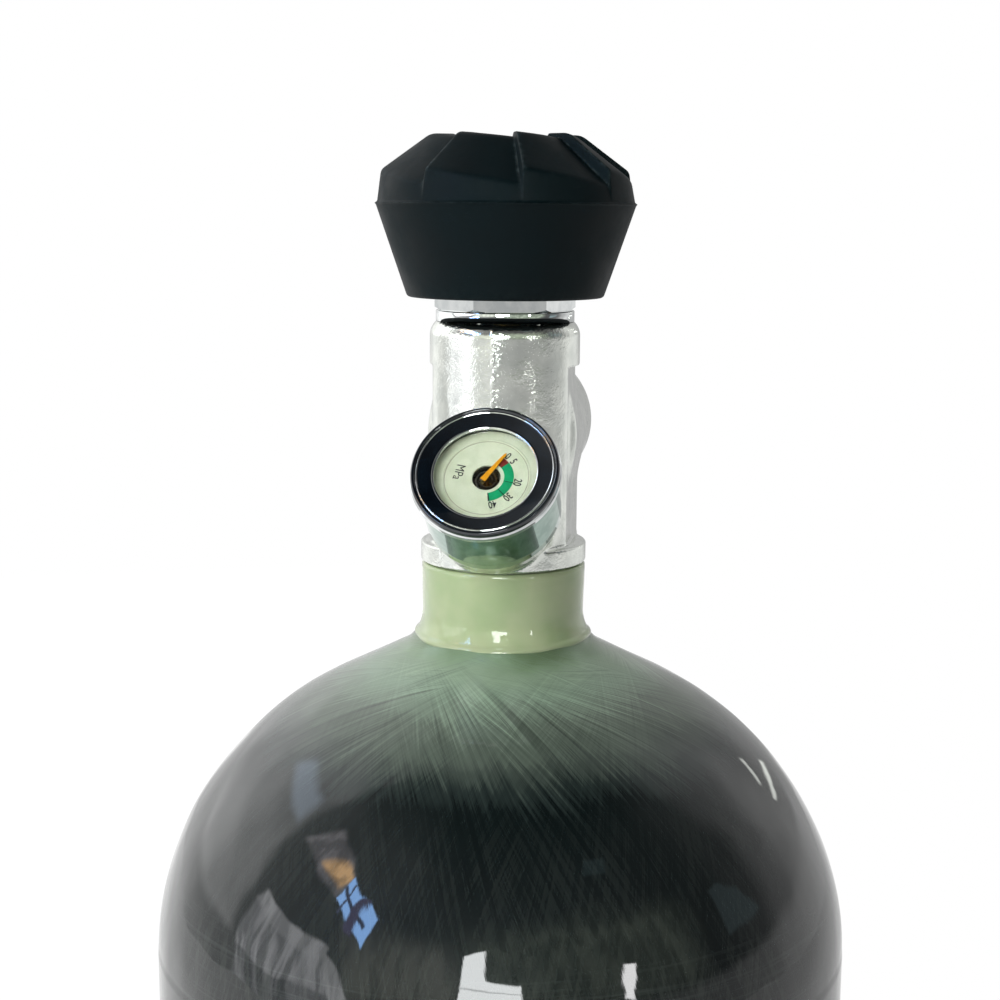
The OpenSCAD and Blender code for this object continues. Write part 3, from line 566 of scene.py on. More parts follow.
turned = mirror_chrome("turned_chrome")
bezel_black = black_chrome()
grip_rubber = rubber()
brass = metal("brass", (214, 184, 118), 0.22)
glass_skin = wound_glass()
resin = green_resin()
pane = window_glass()
dial_paint = paint("dial_paint", (212, 221, 189), (225, 232, 204), 0.5, 260.0)
ink = paint("ink", (10, 12, 12), (18, 20, 20))

CAD_SHADES = {
    "liner": metal("aluminium", (200, 202, 204), 0.3, 6),
    "carbon": carbon(),
    "glass_fibre": glass_skin,
    "sleeve_resin": resin,
    "valve_chrome": mirror_chrome("nut_chrome"),
    "brass": brass,
    "copper": metal("copper", (206, 138, 100), 0.3),
    "steel": metal("steel", (196, 198, 200), 0.22),
    "nylon": nylon(),
    "black_rubber": soft_rubber(),
    "grip_rubber": grip_rubber,
    "bezel_black": bezel_black,
    "crystal": pane,
    "dial": dial_paint,
    "needle": paint("needle_paint", (226, 148, 10), (240, 166, 26), 0.4),
}
for row in frame["record"]["subparts"]:
    dress(frame["nodes"][row["node"]], CAD_SHADES[row["material_slot"]])
dress(frame["nodes"]["bourdon_coil"], metal("coil_bronze", (158, 156, 146), 0.3))


# Tank skin

def shoulder(a, b, f, r, dome_steps, sweep_steps):
    """The shoulder ellipse, the cone on it and the sweep into the neck, from the straight wall up."""
    stop = math.acos(CONE_R / TANK_R)
    t = np.linspace(0, stop, dome_steps + 1)
    dome = np.stack([a * np.cos(t), SHOULDER_Z + b * np.sin(t)], axis=1)
    slope = math.atan2(b * math.cos(stop), a * math.sin(stop))
    reach = (dome[-1][0] + f * math.sin(slope) - r - f) / math.cos(slope)
    top = dome[-1] + reach * np.array([-math.cos(slope), math.sin(slope)])
    cone = dome[-1] + (top - dome[-1]) * np.linspace(0, 1, sweep_steps // 2 + 1)[1:, None]
    centre = top + f * np.array([math.sin(slope), math.cos(slope)])
    t = np.linspace(-math.pi / 2 - slope, -math.pi, sweep_steps + 1)[1:]
    sweep = centre + f * np.stack([np.cos(t), np.sin(t)], axis=1)
    return np.concatenate([dome, cone, sweep])


def foot(depth, steps):
    t = np.linspace(-math.pi / 2, 0, steps + 1)
    r = TANK_R - FOOT_R - depth
    curve = np.stack([FOOT_R + r * np.cos(t), FOOT_RISE + (FOOT_RISE - depth) * np.sin(t)], axis=1)
    return np.concatenate([[[TAIL_R, DISH_H + depth], [DISH_R, depth]], curve])


outer_curve = np.concatenate([
    resample(foot(0, 26), 6.0),
    resample(np.array([[TANK_R, FOOT_RISE], [TANK_R, SHOULDER_Z]]), 9.0)[1:-1],
    shoulder(TANK_R, SHOULDER_RISE, SWEEP_R, NECK_R, 96, 26),
])
outer_curve = outer_curve[outer_curve[:, 1] < SLEEVE_FOOT_Z + 2.5]
inner_curve = np.concatenate([
    foot(GLASS_T, 10),
    shoulder(TANK_R - GLASS_T, SHOULDER_RISE - GLASS_T, SWEEP_R + GLASS_T, NECK_R - GLASS_T, 16, 5),
])
inner_curve = inner_curve[inner_curve[:, 1] < SLEEVE_FOOT_Z]
skin_profile = np.concatenate([outer_curve, [[LINER_NECK_R, outer_curve[-1][1]]], inner_curve[::-1]])
SKIN_COLS = 288
LAID_TURN = 302.0
tank_skin = revolve("tank_skin", skin_profile, SKIN_COLS, closed=True)

# The winding's own waviness, and where each family of fibres runs
rows = len(skin_profile)
outer_rows = len(outer_curve)
angle = np.tile(np.linspace(0, 2 * np.pi, SKIN_COLS, endpoint=False), rows)
radius = np.repeat(skin_profile[:, 0], SKIN_COLS)
height = np.repeat(skin_profile[:, 1], SKIN_COLS)
points = np.stack([radius * np.cos(angle), radius * np.sin(angle), height], axis=1)
is_outer = np.repeat(np.arange(rows) < outer_rows, SKIN_COLS)
lift = 0.10 * waves(points, 26, 34.0, 4) + 0.035 * waves(points, 26, 15.0, 9)
fade = np.clip((radius - 21.0) / 10.0, 0, 1) * np.clip((height - 2.0) / 30.0, 0, 1) * is_outer
on_wall = (height > 39.0) & (height < SHOULDER_Z + 2)
lift = np.where(on_wall, -np.abs(lift) * 0.6, lift - 0.12) * fade
slope = np.gradient(skin_profile, axis=0)
slope /= np.maximum(np.linalg.norm(slope, axis=1, keepdims=True), 1e-9)
out_r = np.repeat(slope[:, 1], SKIN_COLS)
out_z = np.repeat(-slope[:, 0], SKIN_COLS)
points += np.stack([out_r * np.cos(angle), out_r * np.sin(angle), out_z], axis=1) * lift[:, None]
# Under the sleeve the skin draws back, so that it never comes through
tuck = 0.4 * np.clip((height - SLEEVE_FOOT_Z - 0.8) / 0.5, 0, 1) * is_outer
points[:, :2] *= (1 - tuck / radius)[:, None]
move_points(tank_skin, points)

from_neck = outer_curve[::-1]
step = np.linalg.norm(np.diff(from_neck, axis=0), axis=1)
along = np.concatenate([[0], np.cumsum(step)])
along_all = np.zeros(rows)
along_all[:outer_rows] = along[::-1]
for k, turn_r in enumerate(FAMILIES):
    sine = np.minimum(turn_r / from_neck[:, 0], 0.975)
    tangent = sine / np.sqrt(1 - sine ** 2)
    rate = tangent / from_neck[:, 0]
    turned_by = np.concatenate([[0], np.cumsum(step * (rate[1:] + rate[:-1]) / 2)])
    turn_all = np.zeros(rows)
    turn_all[:outer_rows] = turned_by[::-1]
    for side, sign in (("a", 1), ("b", -1)):
        phase = angle + sign * np.repeat(turn_all, SKIN_COLS)
        store(
            tank_skin, f"wind_{k}{side}",
            np.stack([np.cos(phase), np.sin(phase), np.repeat(along_all, SKIN_COLS)], axis=1),
        )
share = np.where(height > SHOULDER_Z - 1, radius / TANK_R, 1.0)
store(tank_skin, "out", share)
# Which way the topmost tows run, in sectors round the neck
store(tank_skin, "laid", np.cos(2 * (angle - math.radians(LAID_TURN))) + 0.3)
dress(tank_skin, glass_skin)

# Sleeve on the neck, with the bead of resin at its foot
sleeve_curve = shoulder(TANK_R, SHOULDER_RISE, SWEEP_R, NECK_R, 96, 40)
sleeve_curve = sleeve_curve[sleeve_curve[:, 1] > SLEEVE_FOOT_Z + 0.2]
foot_r = sleeve_curve[0][0]
bead = [
    [foot_r - 1.2, SLEEVE_FOOT_Z - 0.35],
    [foot_r - 0.1, SLEEVE_FOOT_Z - 0.5],
    [foot_r + 0.3, SLEEVE_FOOT_Z - 0.25],
    [foot_r + 0.32, SLEEVE_FOOT_Z + 0.25],
    [foot_r + 0.1, SLEEVE_FOOT_Z + 0.7],
]
sleeve_rise = np.array([[r + 0.08, z] for r, z in sleeve_curve if z > SLEEVE_FOOT_Z + 1.2])
sleeve_profile = np.concatenate([
    bead, sleeve_rise,
    [[NECK_TOP_R - 0.05, 520.0], [NECK_TOP_R, 524.1], [NECK_TOP_R - 0.2, 524.5], [NECK_TOP_R - 0.6, 524.7],
     [LINER_NECK_R, 524.7], [LINER_NECK_R, SLEEVE_FOOT_Z]],
])
resin_sleeve = revolve("resin_sleeve", resample(sleeve_profile, 0.8), 224, closed=True)
co = points_of(resin_sleeve)
r = np.hypot(co[:, 0], co[:, 1])
outside = r > LINER_NECK_R + 0.5
wave = waves(co, 20, 22.0, 21) * 0.06 + waves(co, 20, 9.0, 22) * 0.02
low = np.clip((SLEEVE_FOOT_Z + 2.5 - co[:, 2]) / 3.0, 0, 1)
wave = (wave - 0.03 + low * waves(co, 20, 12.0, 23) * 0.12) * outside
co[:, :2] *= (1 + wave / r)[:, None]
dip = 0.12 * waves(co, 20, 16.0, 24) - 0.4 * (co[:, 1] ** 2 - co[:, 0] ** 2) / r ** 2
co[:, 2] += low * dip * outside
move_points(resin_sleeve, co)
dress(resin_sleeve, resin)


# Valve forging, from a field of distances

def smooth_min(a, b, k):
    h = np.maximum(k - np.abs(a - b), 0) / k
    return np.minimum(a, b) - h * h * k / 4


def smooth_max(a, b, k):
    return -smooth_min(-a, -b, k)


def round_rod(r, z, rod_r, low, high, edge):
    """Distance to a rod along an axis whose edges are rounded."""
    qx = r - rod_r + edge
    qz = np.abs(z - (low + high) / 2) - (high - low) / 2 + edge
    return np.hypot(np.maximum(qx, 0), np.maximum(qz, 0)) + np.minimum(np.maximum(qx, qz), 0) - edge


def round_box(p, low, high, edge):
    centre = (np.array(low) + np.array(high)) / 2
    half = (np.array(high) - np.array(low)) / 2 - edge
    q = np.abs(p - centre) - half
    return np.linalg.norm(np.maximum(q, 0), axis=1) + np.minimum(q.max(axis=1), 0) - edge


tilt = math.radians(GAUGE_TILT)
gauge_way = np.array([0, -math.cos(tilt), math.sin(tilt)])


def forging(p):
    """Distance from points in millimetres to the valve's forged skin."""
    x, y, z = p[:, 0], p[:, 1], p[:, 2]
    r = np.hypot(x, y)
    flange = round_rod(r, z, FLANGE_R, FLANGE_Z, FLANGE_Z + FLANGE_H, 0.5)
    # The two halves of the die meet in the plane x = 0, where the pillar keeps a trace of its draft
    split_r = np.hypot(np.abs(x) + DRAFT, y) - DRAFT
    pillar = round_rod(split_r, z, PILLAR_R, FLANGE_Z + 0.5, CROWN_Z, PILLAR_EDGE_R)
    block = round_box(p, (-FLAT_X, 0, FLANGE_Z + 1), (FLAT_X, BACK_Y, FLANGE_Z + BACK_H), 1.5)
    body = smooth_min(pillar, block, 2.0)
    cut = round_box(
        np.stack([np.abs(x), y, z], axis=1),
        (FLAT_X, -30, FLANGE_Z + FLANGE_H), (40, 40, FLANGE_Z + FLATS_H), 0.2,
    )
    body = smooth_max(body, -cut, 0.5)
    out_r = np.hypot(x, z - OUTLET_Z)
    outlet = round_rod(out_r, y, OUTLET_R - 0.05, -4, OUTLET_Y - 0.1, 1.0)
    body = smooth_min(body, outlet, 3.0)
    q = p - np.array([0, 0, GAUGE_Z])
    t = q @ gauge_way
    away = np.linalg.norm(q - t[:, None] * gauge_way, axis=1)
    root_r = np.clip(GAUGE_BOSS_R - 3 + (t - 10) * 0.34, 8, GAUGE_BOSS_R - 0.05)
    root = smooth_max(away - root_r, np.abs(t - BOSS_T + 5) - 5.05, 0.3)
    body = smooth_min(body, root, 2.2)
    pocket = round_rod(away, t, 13.0, 24.0, 50.0, 0.1)
    body = smooth_max(body, -pocket, 0.2)
    body = smooth_min(body, flange, 1.0)
    body = smooth_max(body, FLANGE_Z - z, 0.3)
    mouth = round_rod(out_r, y, 12.6, OUTLET_Y - OUTLET_DEPTH - 1, OUTLET_Y + 8, 0.1)
    body = smooth_max(body, -mouth, 0.2)
    hole = round_rod(np.hypot(y - BURST_Y, z - BURST_Z), x, 5.6, BURST_X - 6, BURST_X + 10, 0.1)
    body = smooth_max(body, -hole, 0.2)
    # The flash where the die's halves met, trimmed but still to be seen down the front and the back
    ragged = 0.7 + 0.3 * np.sin(z * 2.1) * np.sin(z * 0.9 + 1.0)
    on_side = np.clip((np.abs(y) - 8) / 4, 0, 1) * np.clip((z - FLANGE_Z - FLANGE_H) / 2, 0, 1)
    return body - FLASH_H * np.exp(-(x / FLASH_W) ** 2) * ragged * on_side


def gradient(field, p, step=0.02):
    out = np.empty_like(p)
    for axis in range(3):
        shift = np.zeros(3)
        shift[axis] = step
        out[:, axis] = (field(p + shift) - field(p - shift)) / (2 * step)
    return out


def skin_of(field, low, high, step):
    """The zero surface of a field as a mesh of quads, with its points moved onto the surface."""
    low, high = np.array(low, float), np.array(high, float)
    size = np.ceil((high - low) / step).astype(int) + 1
    axes = [low[k] + step * np.arange(size[k]) for k in range(3)]
    grid = np.stack(np.meshgrid(*axes, indexing="ij"), axis=-1).reshape(-1, 3)
    inside = (field(grid) < 0).reshape(size)
    cells = [
        inside[i:size[0] - 1 + i, j:size[1] - 1 + j, k:size[2] - 1 + k]
        for i in (0, 1) for j in (0, 1) for k in (0, 1)
    ]
    total = sum(c.astype(int) for c in cells)
    mixed = (total > 0) & (total < 8)
    index = np.full(mixed.shape, -1)
    index[mixed] = np.arange(mixed.sum())
    verts = low + (np.argwhere(mixed) + 0.5) * step
    faces = []
    for axis in range(3):
        a = np.moveaxis(inside, axis, 0)
        idx = np.moveaxis(index, axis, 0)
        cross = a[:-1, 1:-1, 1:-1] != a[1:, 1:-1, 1:-1]
        i, j, k = np.nonzero(cross)
        quad = np.stack([idx[i, j, k], idx[i, j + 1, k], idx[i, j + 1, k + 1], idx[i, j, k + 1]], axis=1)
        flip = a[:-1, 1:-1, 1:-1][cross] == (axis == 1)
        quad[flip] = quad[flip][:, ::-1]
        faces.append(quad)
    for _ in range(6):
        g = gradient(field, verts)
        verts = verts - g * (field(verts) / np.maximum((g ** 2).sum(axis=1), 0.05))[:, None]
    return verts, np.concatenate(faces)


def skinned(name, field, low, high, step):
    verts, faces = skin_of(field, low, high, step)
    obj = mesh_from(name, verts, faces.tolist())
    normals = gradient(field, verts)
    normals /= np.maximum(np.linalg.norm(normals, axis=1, keepdims=True), 1e-9)
    obj.data.normals_split_custom_set_from_vertices(normals.tolist())
    return obj


# The space that the field is sampled in, and how finely
FORGING_BOX = ((-20.3, -31.3, 523.3), (20.3, 31.3, 582.3))
FORGING_STEP = 0.42
valve_forging = skinned("valve_forging", forging, *FORGING_BOX, FORGING_STEP)
dress(valve_forging, sandy_chrome())

# The collar on top of the pillar, and the turned part of the gauge's boss, which ends in the forging
collar_top = FLANGE_Z + PILLAR_H
collar = revolve(
    "valve_collar",
    rounded([(10.2, CROWN_Z - 1), (COLLAR_R, CROWN_Z - 1), (COLLAR_R, collar_top), (10.2, collar_top)],
            [0, 0, 0.35, 0], 4),
)
dress(collar, turned)
gauge_boss = revolve(
    "gauge_boss_turned",
    resample(np.array([[10.0, BOSS_T + 0.05], [GAUGE_BOSS_R, BOSS_T], [GAUGE_BOSS_R, BEZEL_T - 0.3],
                       [GAUGE_BOSS_R - 0.3, BEZEL_T], [12.7, BEZEL_T]]), 2.0),
    160, matrix=gauge_frame,
)
# The boss's chrome gets a darker, greenish colour: a painted dark reflection, standing for the shade under
# the gauge and the green dome it mirrors
dress(gauge_boss, mirror_chrome("boss_chrome_painted_dark", (146, 168, 158), (166, 186, 176)))


def screw(name, crest_r, root_r, pitch, low, high, lead_in, matrix, inside, cols=96):
    """A screw thread as a grid of rows along the axis, with flat lead-ins at its ends."""
    rows = int(math.ceil((high - low) / pitch * 14))
    turn = np.linspace(0, 2 * np.pi, cols, endpoint=False)
    z = np.linspace(low, high, rows + 1)
    phase = (z[:, None] / pitch + turn[None, :] / (2 * np.pi)) % 1.0
    wave = np.clip(np.abs(phase - 0.5) * 2 * 1.3 - 0.15, 0, 1)
    fade = np.clip(np.minimum(z - low, high - z) / lead_in, 0, 1)[:, None]
    r = crest_r + (root_r - crest_r) * wave * fade
    grid = np.stack([
        r * np.cos(turn), r * np.sin(turn), np.repeat(z[:, None], cols, axis=1)
    ], axis=-1).reshape(-1, 3)
    faces = tube_faces(rows + 1, cols)
    if inside:
        faces = [f[::-1] for f in faces]
    obj = mesh_from(name, grid, faces)
    obj.data.transform(matrix)
    return obj


OUTLET_FLOOR = OUTLET_Y - OUTLET_DEPTH
THREAD_END = OUTLET_Y - 1.3
outlet_thread = screw(
    "outlet_thread", OUTLET_BORE_R, OUTLET_ROOT_R, OUTLET_PITCH, OUTLET_FLOOR, THREAD_END, 1.2,
    outlet_frame, True,
)
dress(outlet_thread, turned)
outlet_face = revolve(
    "outlet_face",
    [[2.5, 9.0], [2.5, 13.6], [9.0, OUTLET_FLOOR], [OUTLET_BORE_R, OUTLET_FLOOR],
     [OUTLET_BORE_R + 0.02, OUTLET_FLOOR + 0.1], [12.7, OUTLET_FLOOR + 0.1], [12.7, THREAD_END],
     [OUTLET_BORE_R, THREAD_END], [11.6, OUTLET_Y - 0.05], [11.9, OUTLET_Y],
     [14.2, OUTLET_Y], [14.6, OUTLET_Y - 0.15], [14.6, OUTLET_Y - 1.4]][::-1],
    matrix=outlet_frame, smooth=False,
)
dress(outlet_face, turned)
neck_thread = screw(
    "neck_thread", NECK_THREAD_ROOT_R, NECK_THREAD_R, NECK_THREAD_PITCH, 0.0, NECK_THREAD_H, 1.5,
    placed((0, 0, FLANGE_Z - NECK_THREAD_H), 0, "Z"), False,
)
dress(neck_thread, brass)
burst_face = revolve(
    "burst_face",
    rounded([[5.05, -4.0], [5.05, -0.35], [5.4, 0.12], [6.6, 0.12], [6.9, -0.4]], [0, 0.1, 0.1, 0.15, 0], 3),
    96, matrix=burst_frame,
)
dress(burst_face, turned)


# Handwheel

def ramp_profile(u):
    """The handwheel's outline in (radius, height), at share u along a ramp."""
    rim_r = 16.5 - 2.0 * u
    rim_z = PARTING_Z + 14.9 - 1.0 * u
    edge_z = PARTING_Z + 7.1 - 3.1 * u
    corners = [
        (POCKET_R, POCKET_Z), (POCKET_R, WHEEL_Z), (WHEEL_BOTTOM_R, WHEEL_Z),
        (WHEEL_R, PARTING_Z - 0.3), (WHEEL_R + FLASH, PARTING_Z), (WHEEL_R - 0.25, PARTING_Z + 0.4),
        (27.3, edge_z), (rim_r, rim_z), (11.0, rim_z), (11.0, HUB_TOP_Z),
    ]
    return rounded(corners, [0, 0.7, 0.7, 0.15, 0.12, 0.2, 0.9, 1.3, 0.8, 0], 4)


RAMP_COLS = 30


def grip_angles():
    """Angles round the handwheel with the share u at each: dense at the steps between ramps."""
    spots = []
    whole = 360 / RAMPS
    for k in range(RAMPS):
        start = RAMP_TURN + whole * k
        for i in range(RAMP_COLS):
            u = i / (RAMP_COLS - 1)
            spots.append((start + (whole - RISER) * u, u))
        for i in range(1, 7):
            t = i / 7
            spots.append((start + whole - RISER + RISER * t, 1 - t * t * (3 - 2 * t)))
    return spots


spots = grip_angles()
turns = np.radians([t for t, _ in spots])
outlines = np.array([ramp_profile(u) for _, u in spots])
# Each stretch of the outline gets as many rows as its longest one on a ramp needs
longest = np.linalg.norm(np.diff(outlines[:RAMP_COLS], axis=1), axis=2).max(axis=0)
counts = [max(1, int(math.ceil(d / 1.6))) for d in longest]


def spread(outline):
    out = [outline[0]]
    for i, n in enumerate(counts):
        out += [outline[i] + (outline[i + 1] - outline[i]) * (k + 1) / n for k in range(n)]
    return np.array(out)


outlines = np.array([spread(o) for o in outlines])
grid = np.stack([
    outlines[:, :, 0] * np.sin(turns)[:, None],
    -outlines[:, :, 0] * np.cos(turns)[:, None],
    outlines[:, :, 1],
], axis=-1).transpose(1, 0, 2)
inner_wall = [(HUB_R, HUB_TOP_Z), (HUB_R, HUB_FLANGE_Z), (HUB_FLANGE_R, HUB_FLANGE_Z),
              (HUB_FLANGE_R, POCKET_Z)]
grid = np.concatenate([grid, [
    [[r * math.sin(t), -r * math.cos(t), z] for t in turns] for r, z in inner_wall
]])
grip_rows, grip_cols = grid.shape[:2]
grip = mesh_from("handwheel_rubber", grid.reshape(-1, 3), tube_faces(grip_rows, grip_cols, True))
normals = np.empty(grid.size)
grip.data.vertices.foreach_get("normal", normals)
# Wear, and a painted edge highlight, where the rubber bends sharply
turn_of = normals.reshape(grip_rows, grip_cols, 3)
bend = 1 - (np.roll(turn_of, 1, 0) * np.roll(turn_of, -1, 0)).sum(-1)
bend += 1 - (np.roll(turn_of, 1, 1) * np.roll(turn_of, -1, 1)).sum(-1)
edge_wear_and_sheen = np.clip(bend * 1.6, 0, 1)
for _ in range(2):
    edge_wear_and_sheen = (edge_wear_and_sheen + np.roll(edge_wear_and_sheen, 1, 0) + np.roll(edge_wear_and_sheen, -1, 0)) / 3
store(grip, "edge_wear_and_sheen", edge_wear_and_sheen.ravel())
dress(grip, grip_rubber)


# Gauge

SKIRT_R = BEZEL_R - 0.2
LIP_Z = 33.65
bezel_profile = rounded(
    [(12.05, BEZEL_T + 0.03), (BEZEL_R + 0.05, BEZEL_T + 0.03), (BEZEL_R + 0.1, 33.6), (SKIRT_R, 33.95),
     (SKIRT_R, 34.75), (15.45, GAUGE_REACH), (15.05, 35.12), (14.75, 34.80), (14.5, 34.98), (14.25, 34.80),
     (11.45, 34.16), (11.18, 34.22), (WINDOW_R, 34.05), (WINDOW_R, LIP_Z), (12.05, LIP_Z),
     (12.05, BEZEL_T + 0.03)],
    [0, 0.12, 0.35, 0.1, 0.3, 0.3, 0.2, 0.1, 0.12, 0.12, 0.1, 0.1, 0.1, 0.02, 0.02, 0], 5,
)
BEZEL_COLS = 192
bezel = revolve("bezel_ring", bezel_profile, BEZEL_COLS, matrix=gauge_frame)
dress(bezel, bezel_black)
bezel.data.materials.append(turned.mat)
# The skirt, the crease in the face, the lip at the window and the underside are bright
bright = []
for r, t in (bezel_profile[:-1] + bezel_profile[1:]) / 2:
    skirt = r > SKIRT_R - 0.01 and t < 33.97
    crease = 14.3 < r < 14.7
    bright += [int(skirt or crease or r < 11.4 or t < BEZEL_T + 0.1)] * BEZEL_COLS
bezel.data.polygons.foreach_set("material_index", bright)

crystal_rings = [*np.linspace(0.001, 11.5, 14), 11.6, 11.66]
crystal_top = [(r, 33.6 + 0.22 * (1 - (r / 11.9) ** 2)) for r in crystal_rings]
crystal_flat = [(r, 32.8) for r in (0.001, 4.0, 8.0, 11.0, 11.6, 11.7)]
crystal = revolve(
    "gauge_pane",
    crystal_flat + [(11.8, 32.84), (11.95, 33.0), (11.95, 33.5)] + crystal_top[::-1],
    matrix=gauge_frame,
)
dress(crystal, pane)

dial_plate = revolve(
    "dial_plate",
    rounded(
        [(3.0, DIAL_T - 0.5), (3.0, DIAL_T), (8.98, DIAL_T), (9.08, DIAL_T + 0.14), (9.3, DIAL_T + 0.14),
         (9.5, DIAL_T + 0.06), (DIAL_R, DIAL_T + 0.06), (DIAL_R, DIAL_T - 0.5), (3.0, DIAL_T - 0.5)],
        [0, 0.12, 0.03, 0.03, 0.03, 0.03, 0.1, 0.05, 0], 3,
    ),
    160, matrix=gauge_frame,
)
dress(dial_plate, dial_paint)

PRINT_T = DIAL_T - 0.1
BAND_IN = 3.8
BAND_OUT = 5.8
DIGIT_R = 6.7
UNIT_R = 6.1
dial_marks = []


def add_mark(obj, shade):
    dress(obj, shade)
    dial_marks.append(obj)


def scale_angle(mark):
    return ZERO_ANGLE - SWING * mark / 40


def sector(name, outer, start, end, high, shade):
    """A flat piece of a ring on the dial, between two angles in degrees."""
    n = max(2, int(abs(end - start) / 2))
    verts = []
    for i in range(n + 1):
        a = math.radians(start + (end - start) * i / n)
        for r, t in ((BAND_IN, PRINT_T), (BAND_IN, high), (outer, high), (outer, PRINT_T)):
            verts.append((r * math.cos(a), r * math.sin(a), t))
    faces = tube_faces(n + 1, 4) + [(3, 2, 1, 0), (4 * n, 4 * n + 1, 4 * n + 2, 4 * n + 3)]
    obj = mesh_from(name, verts, faces, smooth=False)
    obj.data.transform(gauge_frame)
    add_mark(obj, shade)


def words(name, text, size, reach, angle, turn, condense=0.72, weight=0.011):
    """Lettering on the dial as a thin mesh, at a radius and an angle, turned by some degrees."""
    curve = bpy.data.curves.new(name, "FONT")
    curve.body = text
    curve.size = size * MM
    curve.align_x = curve.align_y = "CENTER"
    curve.extrude = 0.03 * MM
    curve.offset = weight * size * MM
    temp = new_object(name + "_text", curve)
    bpy.context.view_layer.update()
    mesh = bpy.data.meshes.new_from_object(temp.evaluated_get(bpy.context.evaluated_depsgraph_get()))
    bpy.data.objects.remove(temp)
    bpy.data.curves.remove(curve)
    mesh.name = name
    a = math.radians(angle)
    local = placed((reach * math.cos(a), reach * math.sin(a), DIAL_T + 0.03), turn, "Z")
    mesh.transform(gauge_frame @ local @ Matrix.Diagonal((condense, 1, 1, 1)))
    add_mark(new_object(name, mesh), ink)


for name, start, end, dark, light in (
    ("red", 0, 5, (112, 34, 30), (134, 44, 38)), ("green", 5, 40, (0, 150, 94), (10, 168, 108)),
):
    shade = paint(name + "_paint", dark, light)
    sector("band_" + name, BAND_OUT, scale_angle(start), scale_angle(end), DIAL_T + 0.06, shade)
for mark, width, reach in ((20, 1.6, 5.9), (30, 2.0, 6.0), (40, 3.4, 5.8)):
    a = scale_angle(mark)
    sector(f"tick_{mark}", reach, a + width / 2, a - width / 2, DIAL_T + 0.09, ink)
# A thin ring just inside the dial's step, painted brownish: a painted shadow line where the raised rim meets
# the face
step_shade = revolve(
    "dial_step_shade",
    [(8.86, PRINT_T), (8.98, PRINT_T), (8.98, DIAL_T + 0.015), (8.86, DIAL_T + 0.015)],
    160, closed=True, matrix=gauge_frame, smooth=False,
)
add_mark(step_shade, paint("step_shade_paint", (146, 140, 112), (166, 160, 132)))
for mark, nudge in ((0, -4.0), (5, -2.0), (20, 3.0), (30, 3.0), (40, 6.0)):
    a = scale_angle(mark) + nudge
    words(f"digit_{mark}", str(mark), 2.4, DIGIT_R, a, a - 90)
unit_angle = scale_angle(20) + 180
words("unit_mark", "MPa", 2.8, UNIT_R, unit_angle, unit_angle + 90, 0.78, -0.004)


# What moves with what, and what each piece stands for

for piece, slot in (
    (tank_skin, "glass_fibre"), (resin_sleeve, "sleeve_resin"),
    (valve_forging, "valve_chrome"), (collar, "valve_chrome"), (gauge_boss, "valve_chrome"),
    (outlet_thread, "valve_chrome"), (outlet_face, "valve_chrome"), (neck_thread, "brass"),
    (burst_face, "valve_chrome"), (bezel, "bezel_black"), (crystal, "crystal"), (dial_plate, "dial"),
):
    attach(piece, "tank")
for piece in dial_marks:
    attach(piece, "tank")
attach(grip, "handwheel")
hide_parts("glass_overwrap")
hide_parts("neck_sleeve")
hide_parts("valve_body")
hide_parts("handwheel_grip")
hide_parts("gauge_bezel")
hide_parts("gauge_crystal")
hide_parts("gauge_dial")


# Floor, backdrop, lamps and camera

def floor_shade():
    s = Shade("pale_floor", Roughness=0.9, Specular_IOR_Level=0.1)
    grain = s.noise(s.where, 40.0, 3.0)
    s.set(Base_Color=s.mix(grain, (0.86, 0.86, 0.86), (0.90, 0.90, 0.90)))
    x, y, _ = s.split(s.where)
    r = s.math("SQRT", s.plus(s.math("POWER", x, 2.0), s.math("POWER", y, 2.0)))
    share = s.times(s.seen(), s.ramp(r, 0.12, 0.7, 0.25, 1.0))
    # In the gloss the floor is brighter to the left, where the light comes from
    level = s.math("MAXIMUM", s.ray("Camera"), s.ramp(x, -1.1, 0.9, 1.15, 0.74))
    white = s.node("Emission", {"Color": (1, 1, 1), "Strength": level}).outputs[0]
    s.show(s.mix_shader(share, s.bsdf.outputs[0], white))
    return s


floor = revolve("floor", [(2600.0, 0.0), (900.0, 0.0), (300.0, 0.0), (0.01, 0.0)], 96)
floor.location.z = -0.0002
dress(floor, floor_shade())

world = bpy.data.worlds.new("studio")
bpy.context.scene.world = world
world.use_nodes = True
room = Nodes(world.node_tree, "OutputWorld")
way = room.node("TexCoord").outputs["Generated"]
way_x, way_y, way_z = room.split(way)
turn_round = room.math("ARCTAN2", way_x, room.times(way_y, -1.0))
turn_share = room.math("MULTIPLY_ADD", turn_round, 1 / (2 * math.pi), 0.5)
rise_share = room.math("MULTIPLY_ADD", way_z, 0.5, 0.5)


def levels(value, stops):
    """Brightness by a value from 0 to 1, through the given stops."""
    return room.colours(value, [(place, (level, level, level)) for place, level in stops])


def by_turn(*stops):
    return levels(turn_share, [((azimuth + 180) / 360, level / 2) for azimuth, level in stops])


